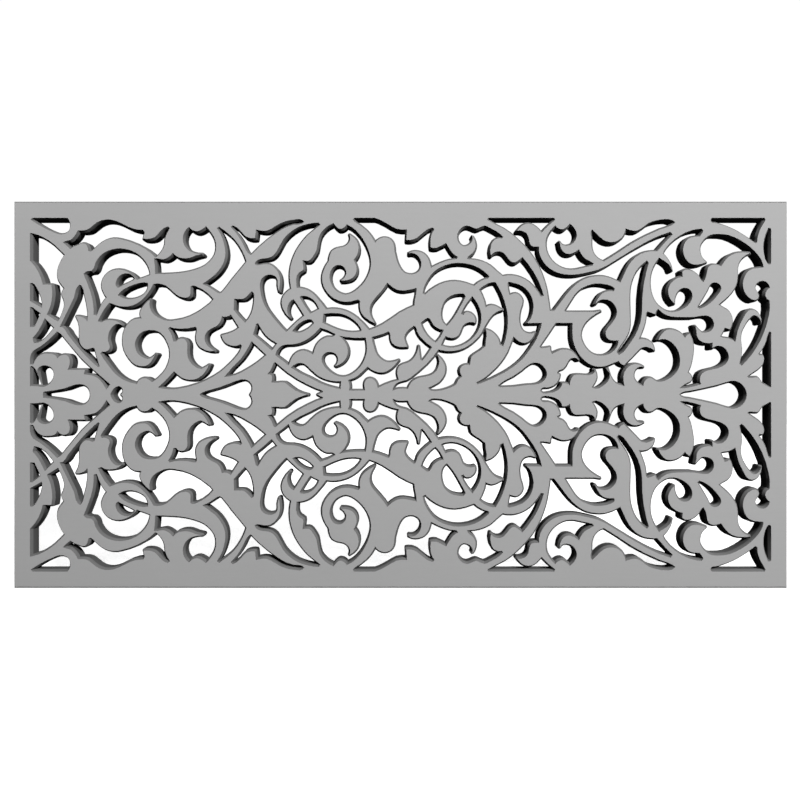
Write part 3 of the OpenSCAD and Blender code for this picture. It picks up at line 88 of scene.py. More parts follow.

# Outlines of the cut-outs on the front face, as listed points: [x, z] from the panel's centre.
# The line runs smoothly through a point, or turns sharply where a third value of 1 is given.
LEFT_CUTS = [
    # Corner slot
    [[-573,271,1], [-570,274,1], [-516,274,1], [-511,262], [-514,253], [-521,249], [-528,248.5],
     [-536,251], [-556,260.5]],
    # Long cut beside the left edge
    [[-574,251,1], [-560,247], [-548,241], [-536,232.5], [-527,224], [-520,217,1], [-525,209],
     [-529.5,199], [-531.5,188], [-530,178], [-525,170.5], [-520.5,165,1], [-524,160],
     [-525,156], [-522.5,149.5], [-520.5,140], [-522.5,131], [-530.5,113,1], [-548,124,1],
     [-543.5,134], [-540.5,146], [-539.5,160], [-541,170.5,1], [-554,170.5,1], [-557,181],
     [-565,197], [-574,207.5,1]],
    # Slots at the left edge, from above
    [[-574,173,1], [-570,173], [-562,163], [-557,152.5], [-555,144], [-555.5,134.5,1],
     [-574,145,1]],
    [[-574,136,1], [-570,135.5,1], [-557.5,126,1], [-561,117], [-567,105,1], [-574,105,1]],
    [[-551,118.5,1], [-536.5,104,1], [-545,93], [-556,83], [-568,79.5,1], [-570,88,1],
     [-561,99], [-556,108]],
    # Under the diagonal stem
    [[-532,98,1], [-527,95], [-519,86], [-505,69], [-494,56], [-482,44.5], [-469,33],
     [-449.5,16,1], [-455.5,8,1], [-461,17], [-467,24], [-474,28.5], [-483,30.5],
     [-490.5,31.5,1], [-489,38.5,1], [-500,38.5], [-516,38.5,1], [-513,46], [-512.5,54],
     [-516,60.5], [-524,61.5], [-531.5,56,1], [-536,62], [-545,63.5], [-553,63.5],
     [-561,59.5], [-566,53], [-569,46.5,1], [-574,47,1], [-574,57,1], [-569,68], [-560,73.5],
     [-545,85], [-537,93]],
    # Curl at the left edge
    [[-574,43,1], [-571,44.5], [-567,41.5], [-562.5,33.5,1], [-562,40], [-557,44.5],
     [-550,45.5], [-543,43.5], [-538,38.5], [-536.5,31], [-539,22.5], [-546,15], [-554,12],
     [-562,13], [-574,13.5,1]],
    # Band over the ring
    [[-523,236,1], [-519,238], [-511,240], [-505.5,245], [-500,254.5,1], [-492,254.5],
     [-485,256], [-478,261], [-471,266.5], [-462,270.5], [-453,271.5], [-443,270],
     [-430,264.5], [-419,259], [-411,256.5], [-399,255.5,1], [-396,251.5,1], [-398.5,242,1],
     [-389,241.5], [-381,244], [-374,251], [-367,258], [-360,260.5,1], [-357,258,1],
     [-361,251], [-364.5,242], [-365,234], [-368.5,224.5], [-379.5,212.5,1], [-387,219.5],
     [-395,225.5], [-407,232], [-421,237.5], [-434,241], [-446,242], [-457,239],
     [-467,232.5], [-473.5,226.5], [-479.5,221.5,1], [-483.5,222.5,1], [-485,229],
     [-488,233.5], [-493,234.5], [-499,232], [-506,229.5], [-511.5,225.5,1], [-516.5,230]],
    # Inside the ring
    [[-491,187,1], [-485,191.5], [-479,192], [-475,196.5], [-473,203.5], [-469,210.5],
     [-462,218], [-452,223.5], [-440,226.5], [-427,226], [-415,222.5], [-404,216],
     [-395.5,207], [-390,197], [-387.5,185.5,1], [-398,181.5], [-408.5,178,1], [-415.5,185.5],
     [-424,191], [-437,194], [-448,192], [-458,184.5], [-462.5,175.5], [-463,167],
     [-460.5,159.5], [-455,150.5,1], [-462,142], [-466.5,133], [-470.5,122.5,1],
     [-475.5,124,1], [-476,140], [-480,158.5], [-485.5,173.5]],
    [[-440.5,168], [-440.5,176], [-436,183.5], [-427,188], [-419,187], [-411,179,1],
     [-420,174], [-429,170], [-437,165.5,1]],
    [[-438,154,1], [-432,161], [-422,167], [-410,171.5], [-399,174], [-391.5,173.5,1],
     [-391,167], [-395,158], [-403,152], [-413,148.5], [-423,148], [-432,150.5]],
    # Tall cut left of the palm leaf
    [[-499.5,168.5], [-496.5,170.5], [-493.5,168], [-490,157], [-486.5,142], [-484.5,128],
     [-485,113,1], [-489,118], [-495,121], [-503,121.5,1], [-499.5,114], [-497.5,104],
     [-497.5,91], [-497,82], [-493,74.5], [-487,70.5], [-481,71.5], [-477,73], [-474,71.5,1],
     [-471,61], [-466,44,1], [-468,42.5,1], [-475,48], [-487,59.5], [-497,70.5],
     [-507,82.5], [-516,94], [-523,104], [-528,105,1], [-524,113], [-515,131.5], [-506,150]],
    # Round the palm leaf, the stem and the large curl
    [[-469,113.5,1], [-464,124], [-458,134], [-451,142.5,1], [-444,140], [-437,137.5],
     [-427,136.5], [-418,137.5], [-409,141], [-400,147.5], [-392,156.5], [-387,164],
     [-383,171.5,1], [-377,172.5], [-370,171.5], [-362.5,168.5], [-356.4,163.5],
     [-350,157.5], [-343,152.5], [-336,150.5], [-329.5,151], [-326,154], [-325.5,161],
     [-325.3,167.5,1], [-322,169.3], [-314.5,167], [-305,162], [-297,156], [-289.5,148,1],
     [-295,141.5], [-301.5,136.5], [-309.5,130.5], [-318,125.5], [-327,121], [-338,117.3],
     [-348,115.5], [-358.5,114.3], [-366,115.5], [-372,118], [-380,122.5], [-385.5,128.5],
     [-388.5,136], [-388.5,147,1], [-393,143.5], [-398,138], [-401.5,132.5,1], [-403.5,126],
     [-401,118,1], [-406.5,118], [-412.5,117], [-418,114], [-423,109], [-427,102.5],
     [-429.5,95], [-430.5,86.5], [-430.3,77.5], [-428.5,70], [-425.5,63.3], [-421.5,57],
     [-416.5,51], [-410.5,46.5], [-403.3,44.5], [-396.2,44.5], [-390.5,47], [-386.5,51],
     [-383.5,56], [-380,62.5,1], [-385,58], [-391,55.5], [-398.5,57.5], [-405.5,62.3],
     [-409.5,68.3], [-411.3,74.6], [-410.8,82.8], [-408,89], [-403.3,95], [-397,98.8],
     [-390,100.2], [-382,100], [-375.5,98.3], [-369.5,93.8], [-364.3,87], [-360.5,79.5],
     [-358,72], [-357.2,64.5], [-357.5,57], [-359.7,49], [-363.2,40.5], [-368.3,33.3],
     [-375.5,26], [-385,19.5,1], [-388.5,22.3], [-392.5,24.8], [-397.2,25.6], [-402.5,24.2],
     [-408.5,16.5,1], [-419,19], [-430,23.5], [-442,32.5], [-453,46], [-460,55.5],
     [-465,64,1], [-462.5,67,1], [-455.5,67.3], [-451,71], [-451,77], [-453,83], [-453,91],
     [-450.5,99], [-446,105.5], [-440,109.5], [-432,108,1], [-436,111.8], [-441,114.5],
     [-448,115.5], [-457,115], [-463,112,1]],
    # Under the arch of the large curl
    [[-360,102,1], [-358,105,1], [-350,103], [-340,102.3], [-329,103], [-317.5,105.3,1],
     [-315.5,102], [-316,97], [-317,90], [-316,82], [-312,75], [-306,71], [-298,68],
     [-289,68,1], [-296,73], [-301,78.5], [-303.5,85], [-303,92], [-299,98.5], [-292,103],
     [-285,106.5], [-280,112], [-277,121.5,1], [-269,121], [-263,124.5,1], [-256,113.5],
     [-250,104,1], [-260,97.5], [-268,94.5], [-277.5,92,1], [-275,85.5], [-270.5,80],
     [-263,76.5], [-255,75.8], [-248,78.3,1], [-245.5,76,1], [-248,69], [-256,57.5],
     [-267,46], [-281,34], [-296,25], [-315,16.5], [-330,12], [-345,9], [-360,8.5],
     [-376,11,1], [-366,20], [-358,28.5], [-351,36.5,1], [-346,32], [-338,26], [-329,23.5],
     [-320,23.5], [-311,27.5], [-303,35], [-297.5,46,1], [-302.5,43], [-309,40],
     [-317,42.5], [-325,49.5], [-329.5,58], [-330.5,70], [-330.5,80], [-334,85.5],
     [-341,87], [-347.5,82.5,1], [-352,82.5,1], [-354.5,92]],
    # Over the acanthus right of the ring
    [[-382,211,1], [-377,211.3], [-368,209.8], [-360.5,212.5], [-352.5,220,1], [-346,214],
     [-337,211.5], [-327,212], [-318,215.5], [-308.5,218,1], [-320,219.5], [-328.5,223.5],
     [-335,231.5], [-337.3,241.5], [-335,251.5], [-327.5,260,1], [-322,255], [-315,253.3],
     [-308,256], [-301.5,261,1], [-293,251], [-287.5,241], [-285.5,229], [-288,217],
     [-295,207], [-304,199.5], [-317,194], [-335,189.5], [-355,187.5], [-380,187,1],
     [-380.5,198]],
    [[-307,171.5,1], [-297,178.5], [-288,185.5], [-279,196], [-273,208], [-271.3,220],
     [-273.5,234], [-278,247], [-284.5,258,1], [-281,260.5,1], [-269,251.5], [-257,240.5],
     [-247.5,227], [-241,213.5], [-238.5,206,1], [-250,192], [-262,177.5], [-273.5,162.5],
     [-280,157], [-288,161], [-298,167.5]],
    [[-263,259.5,1], [-260.5,262.3,1], [-253,259], [-246.5,252.5], [-240,245.5],
     [-232,242.7], [-225.5,243,1], [-224,256,1], [-216,254.3], [-207,254.3], [-199,258],
     [-189,264], [-178,268.7], [-165,271.2], [-152,270.8], [-149,268,1], [-152,265],
     [-165,263.3], [-178,259], [-190,252], [-205,241], [-219,229], [-232,216,1], [-237,220],
     [-244.5,234.5], [-254,249.5]],
]

CENTRE_CUTS = [
    # Hook and blade left of the bud
    [[-226,202,1], [-224,206.5], [-218.5,210], [-209,211.3], [-201,213.2], [-194.5,218.5],
     [-188.5,228.5], [-182.5,239.5], [-173,250], [-160,259], [-146,264], [-127,266.8,1],
     [-124,263,1], [-131,257.5], [-143,247.5], [-153,236], [-162,222], [-168,207.5],
     [-171.3,192], [-171.3,176], [-169.3,164,1], [-176,159.5], [-182,152], [-184.3,142],
     [-181.5,132], [-172,119.5,1], [-175.5,128], [-174.5,138], [-169.5,146], [-165.5,148,1],
     [-160,140], [-149,122.5,1], [-160,113.5], [-169,105], [-177,97,1], [-187,107],
     [-197.5,119.5], [-207,132], [-213.5,145], [-217,160], [-217.8,172], [-215,180],
     [-208.5,185], [-200.5,186], [-194,183.5], [-190.5,178], [-190.5,170], [-188.5,161,1],
     [-187,170], [-187,180], [-189.5,189], [-195.5,197], [-203,201.8], [-213,202],
     [-221.5,200.5]],
    # Small cuts round the crossing stems
    [[-258,148.5,1], [-250,148.3], [-243,149], [-236.5,154], [-231,160.3,1], [-227.5,157.5],
     [-226.7,150], [-228,137], [-231.5,125], [-241,111.5,1], [-250,121], [-258.5,131,1]],
    [[-224,109.5,1], [-221,111,1], [-216,102.5], [-209,92.5], [-200,85], [-190.8,79.5,1],
     [-199.5,68.5,1], [-215,82], [-228.5,93,1], [-226,102]],
    [[-231,83,1], [-219,72], [-207.5,61.5,1], [-221,50.5], [-238,39.5], [-256,30.5],
     [-273,27.5,1], [-261,42], [-248,55], [-239,68]],
    [[-170,42,1], [-163,47.3], [-155,49.3], [-147.5,47], [-139,39], [-130,31], [-119,25],
     [-106,21.5], [-92,21,1], [-93,8.5,1], [-108,12], [-125,18], [-140,26], [-156,33.5]],
    [[-194,61,1], [-192,67.5], [-187,74], [-179,77.5], [-168,78], [-156,80.5], [-143,87],
     [-133,95], [-124.5,104,1], [-113,100], [-100.5,93.5,1], [-104,90], [-114,89.5],
     [-123,85], [-130,77.5], [-133.5,69], [-135.5,62,1], [-141,65.5], [-150,68.5],
     [-159,66.5], [-166,61], [-170,54], [-173.5,45,1], [-183,53]],
    [[-156.5,151,1], [-154,153,1], [-145,152.5], [-137,148.5], [-130,141], [-126,132.5,1],
     [-140,125.5,1], [-149,138.5]],
    [[-168,98.5,1], [-162,106], [-154,112.5], [-145,116.5], [-140.5,117], [-134,110.5,1],
     [-140,104.5], [-148,99.5], [-158,96]],
    [[-119.5,125.5,1], [-108,126.5], [-97,126.3], [-85,123.3], [-74,117], [-66,109.5],
     [-60,100,1], [-62,98,1], [-75,96.8], [-90,98.8], [-105,104], [-121,111.5,1]],
    # Round the bud and its spiral
    [[-161,165.5,1], [-161.5,172], [-160.5,185], [-157,189.5], [-151,193.5], [-151,201],
     [-152,208.5,1], [-146,207.5], [-141.5,208], [-136,214], [-130.5,223.5], [-128.5,235],
     [-125,248], [-117,258], [-109,263.5], [-103.5,266,1], [-99,260], [-94.5,257],
     [-89.5,258], [-83.5,264,1], [-75,259.5], [-63,248], [-54,234], [-47.5,217],
     [-45.5,203], [-48,190], [-55,176], [-65,165], [-75,158], [-85,155], [-94,157.5],
     [-102,163], [-107.5,171.5], [-110,181], [-108.5,191], [-104,198], [-97,201],
     [-90,199.5], [-85.5,194.5], [-84,188], [-86.5,182], [-92,177,1], [-83,177.5],
     [-75,180.5], [-69.5,187.5], [-68,195], [-69.5,202], [-73,208.5,1], [-67,217.5],
     [-65,228], [-67.5,237.5], [-73,244], [-79,248,1], [-78,241], [-82,233], [-89,229],
     [-99,227], [-106,223], [-109.5,216], [-111,207,1], [-117,197.5], [-121,186],
     [-121,174.5], [-116,162], [-107,152], [-96,146], [-85,144], [-75,145], [-65.5,147.7,1],
     [-62.5,145,1], [-63,135], [-60,125.5], [-53.5,118.8], [-41,111.5,1], [-45,119],
     [-48,129], [-46.5,139.5], [-41,148], [-33,157], [-26,165.5], [-20.5,174,1], [-13,167],
     [-5,162.7], [5,161.5], [15,163], [25,165.5,1], [24,155], [22,146], [21.5,138,1],
     [10,133], [-2,126.5], [-14,118], [-28,109], [-49,100,1], [-57,109.5], [-67,119],
     [-79,127], [-93,132], [-106,133.3], [-115.5,132.3,1], [-123,142.5], [-132,153],
     [-142,161], [-151,164.5]],
    # Crest over the centre
    [[-74,271,1], [-72,274,1], [-40,274,1], [-34,272], [-24,267], [-14,261], [-6,257],
     [2,255.8], [10,256,1], [9,240,1], [16,239.8], [25,243], [33,249.5], [41,256],
     [50,259,1], [52.5,256,1], [48,248], [46.3,238], [47,228,1], [56,227.8], [63,231],
     [70.5,235,1], [75,227.5], [81,219], [89,213.5,1], [87,210,1], [76,208.7], [62,204],
     [47,196.5,1], [45.5,202], [42.5,211], [36,218.5], [27,222], [19,222], [13,219.5,1],
     [20,219.3], [26,216], [30.5,210], [32.3,202], [28.5,191.5], [21,187], [13,186.5],
     [5,189.5], [-1.5,197.5], [-6.5,209.5], [-9.5,222], [-11,234], [-16,241], [-24,243.7],
     [-32,242], [-39.5,235,1], [-45,245], [-53,254.5], [-62,262], [-72,268.5]],
    # Crescent and the wheel below it
    [[34,157,1], [36,166], [42,178.5], [52,191], [66,199.5], [82,203.8], [98,203.8],
     [114,200], [127,193], [137.5,183.5,1], [136,180.3,1], [126,177], [114,168.5,1],
     [101,173], [84,176], [69,174], [55,168], [38,155,1]],
    [[31,111,1], [38,117], [43,119], [45.5,117.5], [50,109.5], [57,103.5], [67,100.5,1],
     [62,90], [54,80.5,1], [45,87.5], [37,97.5]],
    [[62.3,124], [63.5,134], [68,145], [77,153], [88,156.3], [98,156.8,1], [101,152,1],
     [91.5,134.5], [81.5,118], [71.5,106.3,1], [65,113]],
    [[111,153,1], [117,145], [122,135.5], [125,124], [124.7,112], [120.5,99.5], [112,88],
     [101,79.5], [89,74.5], [77,73], [62.5,76.5,1], [66,85], [69.5,91,1], [76,88.5],
     [83,88.3], [89.5,92], [93,99], [96.5,107], [103,111.5], [115,111.5,1], [115.5,118],
     [112,124], [105,127.8], [100,127], [97.5,123.5,1], [93.5,125,1], [97,133.5],
     [103,143]],
    # Spiral disc
    [[-95.5,91.5,1], [-85,89.5], [-72,88.3], [-54,88.5,1], [-52.3,78], [-52.3,67],
     [-56,54], [-63,42.5], [-73,33.5], [-84,28.3], [-95,28.3], [-106,33], [-116,41.5],
     [-121.8,51], [-121.5,59.5], [-116,65], [-108,66.3], [-101,63.5], [-97,57],
     [-97.5,50], [-101,44.5,1], [-92,48.5], [-85.5,55], [-82,64], [-82.5,73.5],
     [-87,82.5]],
    # Leaves and arches beside the middle joint
    [[-45,89.5,1], [-34,92.3], [-19,98,1], [-16.5,95.5], [-15.5,87], [-12.5,79.5],
     [-5.5,75], [3,74], [10,74.5,1], [7.5,81], [5.7,89], [8.5,96], [14.5,102.5],
     [20.5,107,1], [23.5,105], [26,97], [32,88], [40,80.5], [49,73.5,1], [40,60.5],
     [33.5,52.5,1], [30.5,54.5,1], [29.5,63], [27.8,75,1], [25.5,66], [21,57.5],
     [13,50.5], [4,47.5], [-2,44], [-5,37], [-4.5,29], [-2.5,22.5,1], [-13,20], [-24,16],
     [-35.5,10.5,1], [-37.5,17.5], [-41.5,23.5], [-47.5,25.5], [-53,23.5], [-56,18],
     [-56,12], [-55,6.5,1], [-80,6.5,1], [-79,14], [-81.5,22.5,1], [-73,25.5], [-64,31],
     [-57,38], [-51,43.5,1], [-44,38.5], [-35,35], [-26,34.8], [-17,39], [-9.5,45.5],
     [-3,53.5,1], [-12,51], [-21,50.5], [-30,55], [-37,62.5], [-41,73]],
    # Outside the wheel and down to the middle joint
    [[-12.5,6,1], [-11,12], [-6,18], [1,20.8], [9,22.8], [18,28.5], [30,38.5], [41,48.5],
     [50,58.5], [58.5,70,1], [67,68.3], [80,67.7], [93,70.3], [105,76], [116,85],
     [125,95.5], [130.5,106.5], [137,117], [146,126.5], [157.5,131.7,1], [150,136],
     [141,138.8], [131.5,135,1], [129.5,145], [125.5,155.5], [121.5,163,1], [129,169],
     [137,173], [147,174.5,1], [154.5,161.5], [161,145], [165,129], [166.3,113],
     [164.8,97], [159,74.5,1], [153.5,77.5,1], [151.5,86], [146,93.5], [139,98.8],
     [132.5,101,1], [133.3,91], [132,83], [131.5,75,1], [124,69], [114.5,63], [109.5,58],
     [108.3,52], [107.5,46,1], [100,46.3], [94.5,43.5], [92,38], [93,32.5], [95.5,28,1],
     [89.5,23], [86,16], [79,12], [68,8], [56,5.8], [45,7.5], [42.5,10.5,1], [50,14],
     [58,18.5], [64.5,25.5], [68.5,34], [69,43], [66,51], [58,60,1], [60,52],
     [58.8,44.5], [55,36.5], [49,31.5], [40,28.3], [30,26.5], [22,23.5], [15.5,17.5],
     [11.5,9,1], [4,9.5], [-3,9.3]],
    # Band right of the crescent
    [[87.3,245], [90,253.5], [96,260], [103,262], [110,260], [117,257.3], [124,260],
     [130,262], [138,258.8], [148,253.5], [159,244.5,1], [157,241.8,1], [149,241.5],
     [143.5,238], [140,230], [139,223], [140,216.5,1], [147,221.3], [154,222],
     [160.5,219], [165.5,213], [170.5,207], [176,204.8], [181.5,207.5], [188.5,213.5,1],
     [197,203.5], [206,190.5], [214,175.5], [222,153,1], [217,152,1], [209,164],
     [199,174.5], [186,181.8], [172,185], [158,183.5,1], [149,191], [139,200], [127,206],
     [115,209], [103,210,1], [104,213.5], [111.5,219.5], [116,228], [115.5,237],
     [108,249,1], [111.8,241], [109.5,235.5], [104,231], [97,230], [90.5,235]],
]

RIGHT_CUTS = [
    # Slot under the top edge, round the leaf and between the long stems
    [[134,271,1], [136,274,1], [238,274,1], [239.5,270.5,1], [229,262], [218.5,251,1],
     [213,257], [206,262.5], [198,265], [190,263], [184.5,258.5], [181,254.3,1],
     [187.5,254], [194,251], [198,245], [199.5,237], [202.5,231], [208,229.5],
     [214.5,229.5,1], [214.5,222], [218,211.5], [225,201], [235,193], [247,188],
     [261,186], [277,187], [291,190], [305,193.5], [320,200.5], [337,211], [358,224],
     [380,236.5], [402,247], [418,252.5,1], [421.5,248,1], [411,237.5], [397.5,222,1],
     [385,221.8], [373,218.5], [363,212], [354,201.5], [347,188], [340.5,173.5,1],
     [329,179], [315,183.2], [303,183.3], [290,181], [278,175.5], [266,165.5],
     [255,152.5], [246,140.5], [238,130,1], [231,129.5,1], [229.5,142], [226.5,161],
     [221,181], [213,200], [204,215], [193,229], [180,241.5], [171,249.5], [160,257],
     [148,263]],
    # Curl in the round of the stem
    [[239.5,262.5,1], [245,257.5], [251,256.3], [256.5,259.5], [262,265.3,1], [269,258.5],
     [272.8,250], [272,242], [267.5,235], [261,231.3], [254,230.8], [246.5,236.5,1],
     [247.5,230], [250.5,223.5], [256,219], [263,218.3], [270,221], [276.5,225.5,1],
     [280,218], [286,211], [292.5,207.3], [299.5,203.3,1], [297,199.8,1], [284,196.8],
     [271,194], [257,194.2], [245,199], [234.5,207.5], [227.5,218.5], [224.5,231],
     [226,244], [232,254.5]],
    # Flame and the swoosh below it
    [[165.5,173,1], [167.5,175,1], [178,172.5], [189,168], [198,160], [204,149],
     [206,137], [204.5,126], [200.5,116], [196,111,1], [219,111.3,1], [217,103],
     [210.5,86], [201,71], [189,55.5], [175,43.5], [159,33.5], [142,25], [119,16,1],
     [117,19,1], [130,26.5], [143,37.5], [155,50.5], [165,66], [171,81], [175,90.5,1],
     [181,84.5], [188.5,80.5], [196,81], [202,85.5], [208,96.3,1], [194,96],
     [188.5,100], [185,107], [183.5,118], [185.5,132], [189,146], [186,152.5],
     [178.5,157], [172,155.7], [168.5,154.5,1], [166.5,163]],
    [[150.5,14,1], [161,22], [174,28.5], [187,37.5], [199,47], [208.5,50], [217,47.5],
     [224,40.5], [226.8,31], [223,22.5], [214.5,17], [196,15], [175,12.3], [154,11.5,1]],
    # Wave below the top edge
    [[294.5,253], [296.8,256,1], [304,249], [314,240], [324,236.5], [334,237.8],
     [342,243], [347,251.5], [348.5,257.5,1], [356,255], [366,254.3], [374,258.5],
     [384,266], [396,270], [410,272], [421,270.5], [425.5,266.5,1], [420,262.5],
     [402,256], [380,246], [357,233.5], [336,219.5], [315,206.5,1], [305,211.5],
     [298,220.5], [295.5,231], [295.5,243]],
    # Heart of the right scroll
    [[253.5,130,1], [261,142], [269,154.5], [278,163.5], [289,169], [302,172.3],
     [315,171.5], [326,168.5], [331.5,164], [330,160,1], [320,160], [312.5,157],
     [306.5,150], [302,141,1], [308,146.3], [316,147.8], [325,145.3], [332,138.5],
     [335.3,129.5], [333,119], [325,108], [318,98.5], [318,91.5], [322,86], [329,84],
     [337.5,84.5,1], [336,76], [331,68.5], [323,63], [311,60.5], [300,62], [290.5,68.5],
     [283,79], [279,92], [281.5,104], [288.5,114.5], [298,122.5], [309.5,129.5,1],
     [300,128.3], [280,128.2], [256,128.2,1]],
    # Long curved slot
    [[334.5,66,1], [340,75.5], [347.5,86], [353,97], [355.3,109], [355,125], [354.5,145],
     [355,163], [358.5,178.5], [365,192], [373.5,201.5], [381.5,208,1], [384.5,204,1],
     [380.5,190], [376.5,170], [374.5,150], [374,128], [371,110], [363.5,92], [353,76.5],
     [341,63], [337.5,61.8,1]],
    # The great cut round both discs, the pocket and the loop
    [[420.3,193,1], [417.5,203.5], [413,211], [406,218.5,1], [410.5,227], [417,234.5],
     [425,241.5], [433,246.8], [441,251.3], [449.5,254.5], [458.5,256.6], [466.5,257.3,1],
     [469,254,1], [467.5,250.5], [463.5,245,1], [455,244.5], [446.5,242], [441.5,237],
     [438.5,230.5], [437.5,223.5], [439,216], [442.5,209.3], [447.5,204.3], [454,201.8],
     [461.5,201.8], [473.5,205.5,1], [470,208.5], [466,214], [463.8,221], [463.5,229],
     [466,235.5], [470,240.8], [475,245], [481.5,248.3], [490,249], [499.5,248.8],
     [508.5,247.3], [518,243.7], [527,239], [535,234], [542.3,228.3], [548.5,222.5],
     [554.5,215.5], [559.5,207.5], [562.3,197,1], [554,196.2], [546,195.2], [539,191.7],
     [533.5,184.5], [530.5,174.5], [531,164.5], [535,155.5], [542,149], [549,146.8],
     [553.5,149.5], [554.5,154.5], [551.5,160], [549,165.5], [551,172], [556,175.5],
     [562,176.5], [568.5,173], [572,165.5,1], [567,161], [565,155], [566.5,150],
     [571.5,146,1], [572,135], [570,121], [566,105], [560,89.5], [551.5,73.5],
     [541,58.5], [528.5,45,1], [524.5,47.5,1], [527.3,60], [528.2,72], [526.5,85],
     [528,97.5], [533,108], [540,118], [548,123.3], [554.5,120], [558.5,112,1],
     [557,121.5], [554,126.5], [549,130.3], [543,131.5], [538,129.5], [532,121],
     [526.5,110.5], [522.5,100], [520.3,90], [518.5,81.5,1], [508.5,87], [499,88.3],
     [495,90,1], [499,97], [502,104,1], [510,101.5,1], [513.3,110], [513.5,117.5],
     [511.5,124.5], [506.5,131], [500,134.5], [492.3,139.5,1], [504,149.5], [513,159],
     [519.5,170], [521.8,182], [521.8,193], [523.5,203.5], [529,212], [541.5,219.5,1],
     [530,220.3], [518,218.8], [508,213.5], [501,205.5], [496.5,199,1], [490,201],
     [484,201.5], [478,199], [475,192], [473,182], [469,174,1], [466,176.5],
     [462.3,183,1], [456,188.8], [448,192.8], [441,193.3], [436.5,190.5,1],
     [437,182.5,1], [430,181], [422,176], [416.5,169], [414.5,160], [416.5,151],
     [424,141.5,1], [424.3,148], [426.5,155.5], [431.5,162.5], [439,165.7], [447,163.7],
     [451.8,156], [451,147.5], [445,138.5], [436,132], [425,128.3], [414,128.8],
     [404,134], [395.5,142], [389.5,153.5], [386.5,166.5], [386.3,180], [389,193],
     [394,203.5], [400,212.5,1], [409,207], [416,201.5]],
    # Triangle in the corner and the slots at the right edge
    [[480,270], [482,274,1], [563.5,274,1], [565.5,271,1], [559,260], [554,248],
     [552.5,236,1], [549.5,234.3,1], [539,242], [524,251.5], [507,259.5], [489,265.5],
     [481,267.5]],
    [[574,256,1], [574,204,1], [571,201.5], [567,205], [563,216], [561.5,229], [563,241],
     [567,253], [570.5,258.5]],
    [[486,174], [480,171.5], [475.5,163], [468,150], [459.3,135.5,1], [463,133,1],
     [474,138], [484,146], [492,155.5], [496.8,164.5], [494,171]],
    [[571.5,97.8], [569,94.5], [566,84], [561,73], [554,63.5,1], [556,60.5,1], [561,60.5],
     [562.5,54.5], [560.5,47.5], [553.5,40], [544.5,34], [537,28.5,1], [539,26,1],
     [547,26.3], [553,26.5], [557,22], [559.5,17.8,1], [566,14.3], [572,11,1],
     [574,12,1], [574,94,1]],
    # The great cut round the lower discs, the leaves and the trefoils
    [[240,111.3,1], [266.5,111.3,1], [266.3,100], [266.5,89], [269,77.5], [274,66.5],
     [281.5,56.5], [291,48.5], [301,44.3], [311,43.5], [321,45.5], [330,49.5],
     [338,52.5,1], [341.5,48], [346,45.8,1], [359,59], [371,71.5,1], [379,74.3],
     [386,72.8], [392.8,69,1], [391.5,75.5], [388,81,1], [381,85.3], [369,85.8,1],
     [374,98], [378.5,112], [380,126,1], [382.5,129,1], [389,126.8], [394.5,124.8,1],
     [396.5,130.5], [399,133,1], [405,127.5], [414,122.5], [427,120.5], [442,120.3],
     [455,120.5], [468,122.7], [477,122], [483.5,116.5], [485.5,108], [482,100],
     [474.5,96.5], [466.5,96.3,1], [461,101.5], [457,106,1], [458.3,99], [458.7,92],
     [463,84.5], [470.5,80.7], [483.5,80.7,1], [483,72.5,1], [491,76], [500,73.8],
     [507,65], [508.3,55.5], [503,47], [491,41], [476,37.5], [467,33], [463.8,26],
     [465.5,16,1], [456,13.3], [444,10.5], [431.5,10,1], [440,16.5], [451,24],
     [449.5,30], [444.3,34,1], [449,45], [452,58.5], [453.5,72], [452,84], [447.5,94.5,1],
     [444,92.5], [440.5,88,1], [436.5,93], [430,97.8], [421,100.8], [412,100.3],
     [405,94.5], [399.7,85.3,1], [410,86], [418,82.5], [426,74.5], [431.5,64],
     [433,52.5], [430.5,40], [424,31], [414.5,24], [404,20.2], [396.5,20.5],
     [390.5,24.5], [384.5,26], [380.5,23.5], [376,13.5,1], [367,18], [362,24.5],
     [361,32], [364,39.5], [369.5,43.3], [376,43.2,1], [370,46.3], [362,47.3],
     [352.5,43,1], [347,35.5], [345,27], [345.5,19.5], [347,13,1], [340,15], [333,18],
     [328,23.5], [323.5,33.5,1], [324,27], [320,19.5], [312.5,13], [303,9], [296,11.5,1],
     [300.5,18.5], [303.7,27], [303,33], [300.8,38.5,1], [300.5,35], [296.5,31.5],
     [288,30.2], [275.5,31], [268.5,30], [264.5,25], [262.5,14,1], [256.5,17.5],
     [250.5,17.7,1], [248,11], [242,6], [230,2.5], [220,2.5], [216.5,6.5], [219,10.5],
     [229,11.5], [238.5,15.5], [244,22], [246.5,31,1], [242,33.5,1], [244.5,37.3],
     [251,40], [255.8,45], [259,51], [263.5,56], [269,57.3], [275.5,54,1], [270.5,62.5],
     [264,67.8], [256,70], [248,69.5], [241,66.5], [234.5,63,1], [232.5,67],
     [231.5,73.8,1], [224,72.6], [217,72,1], [215,74.5,1], [227,92]],
]

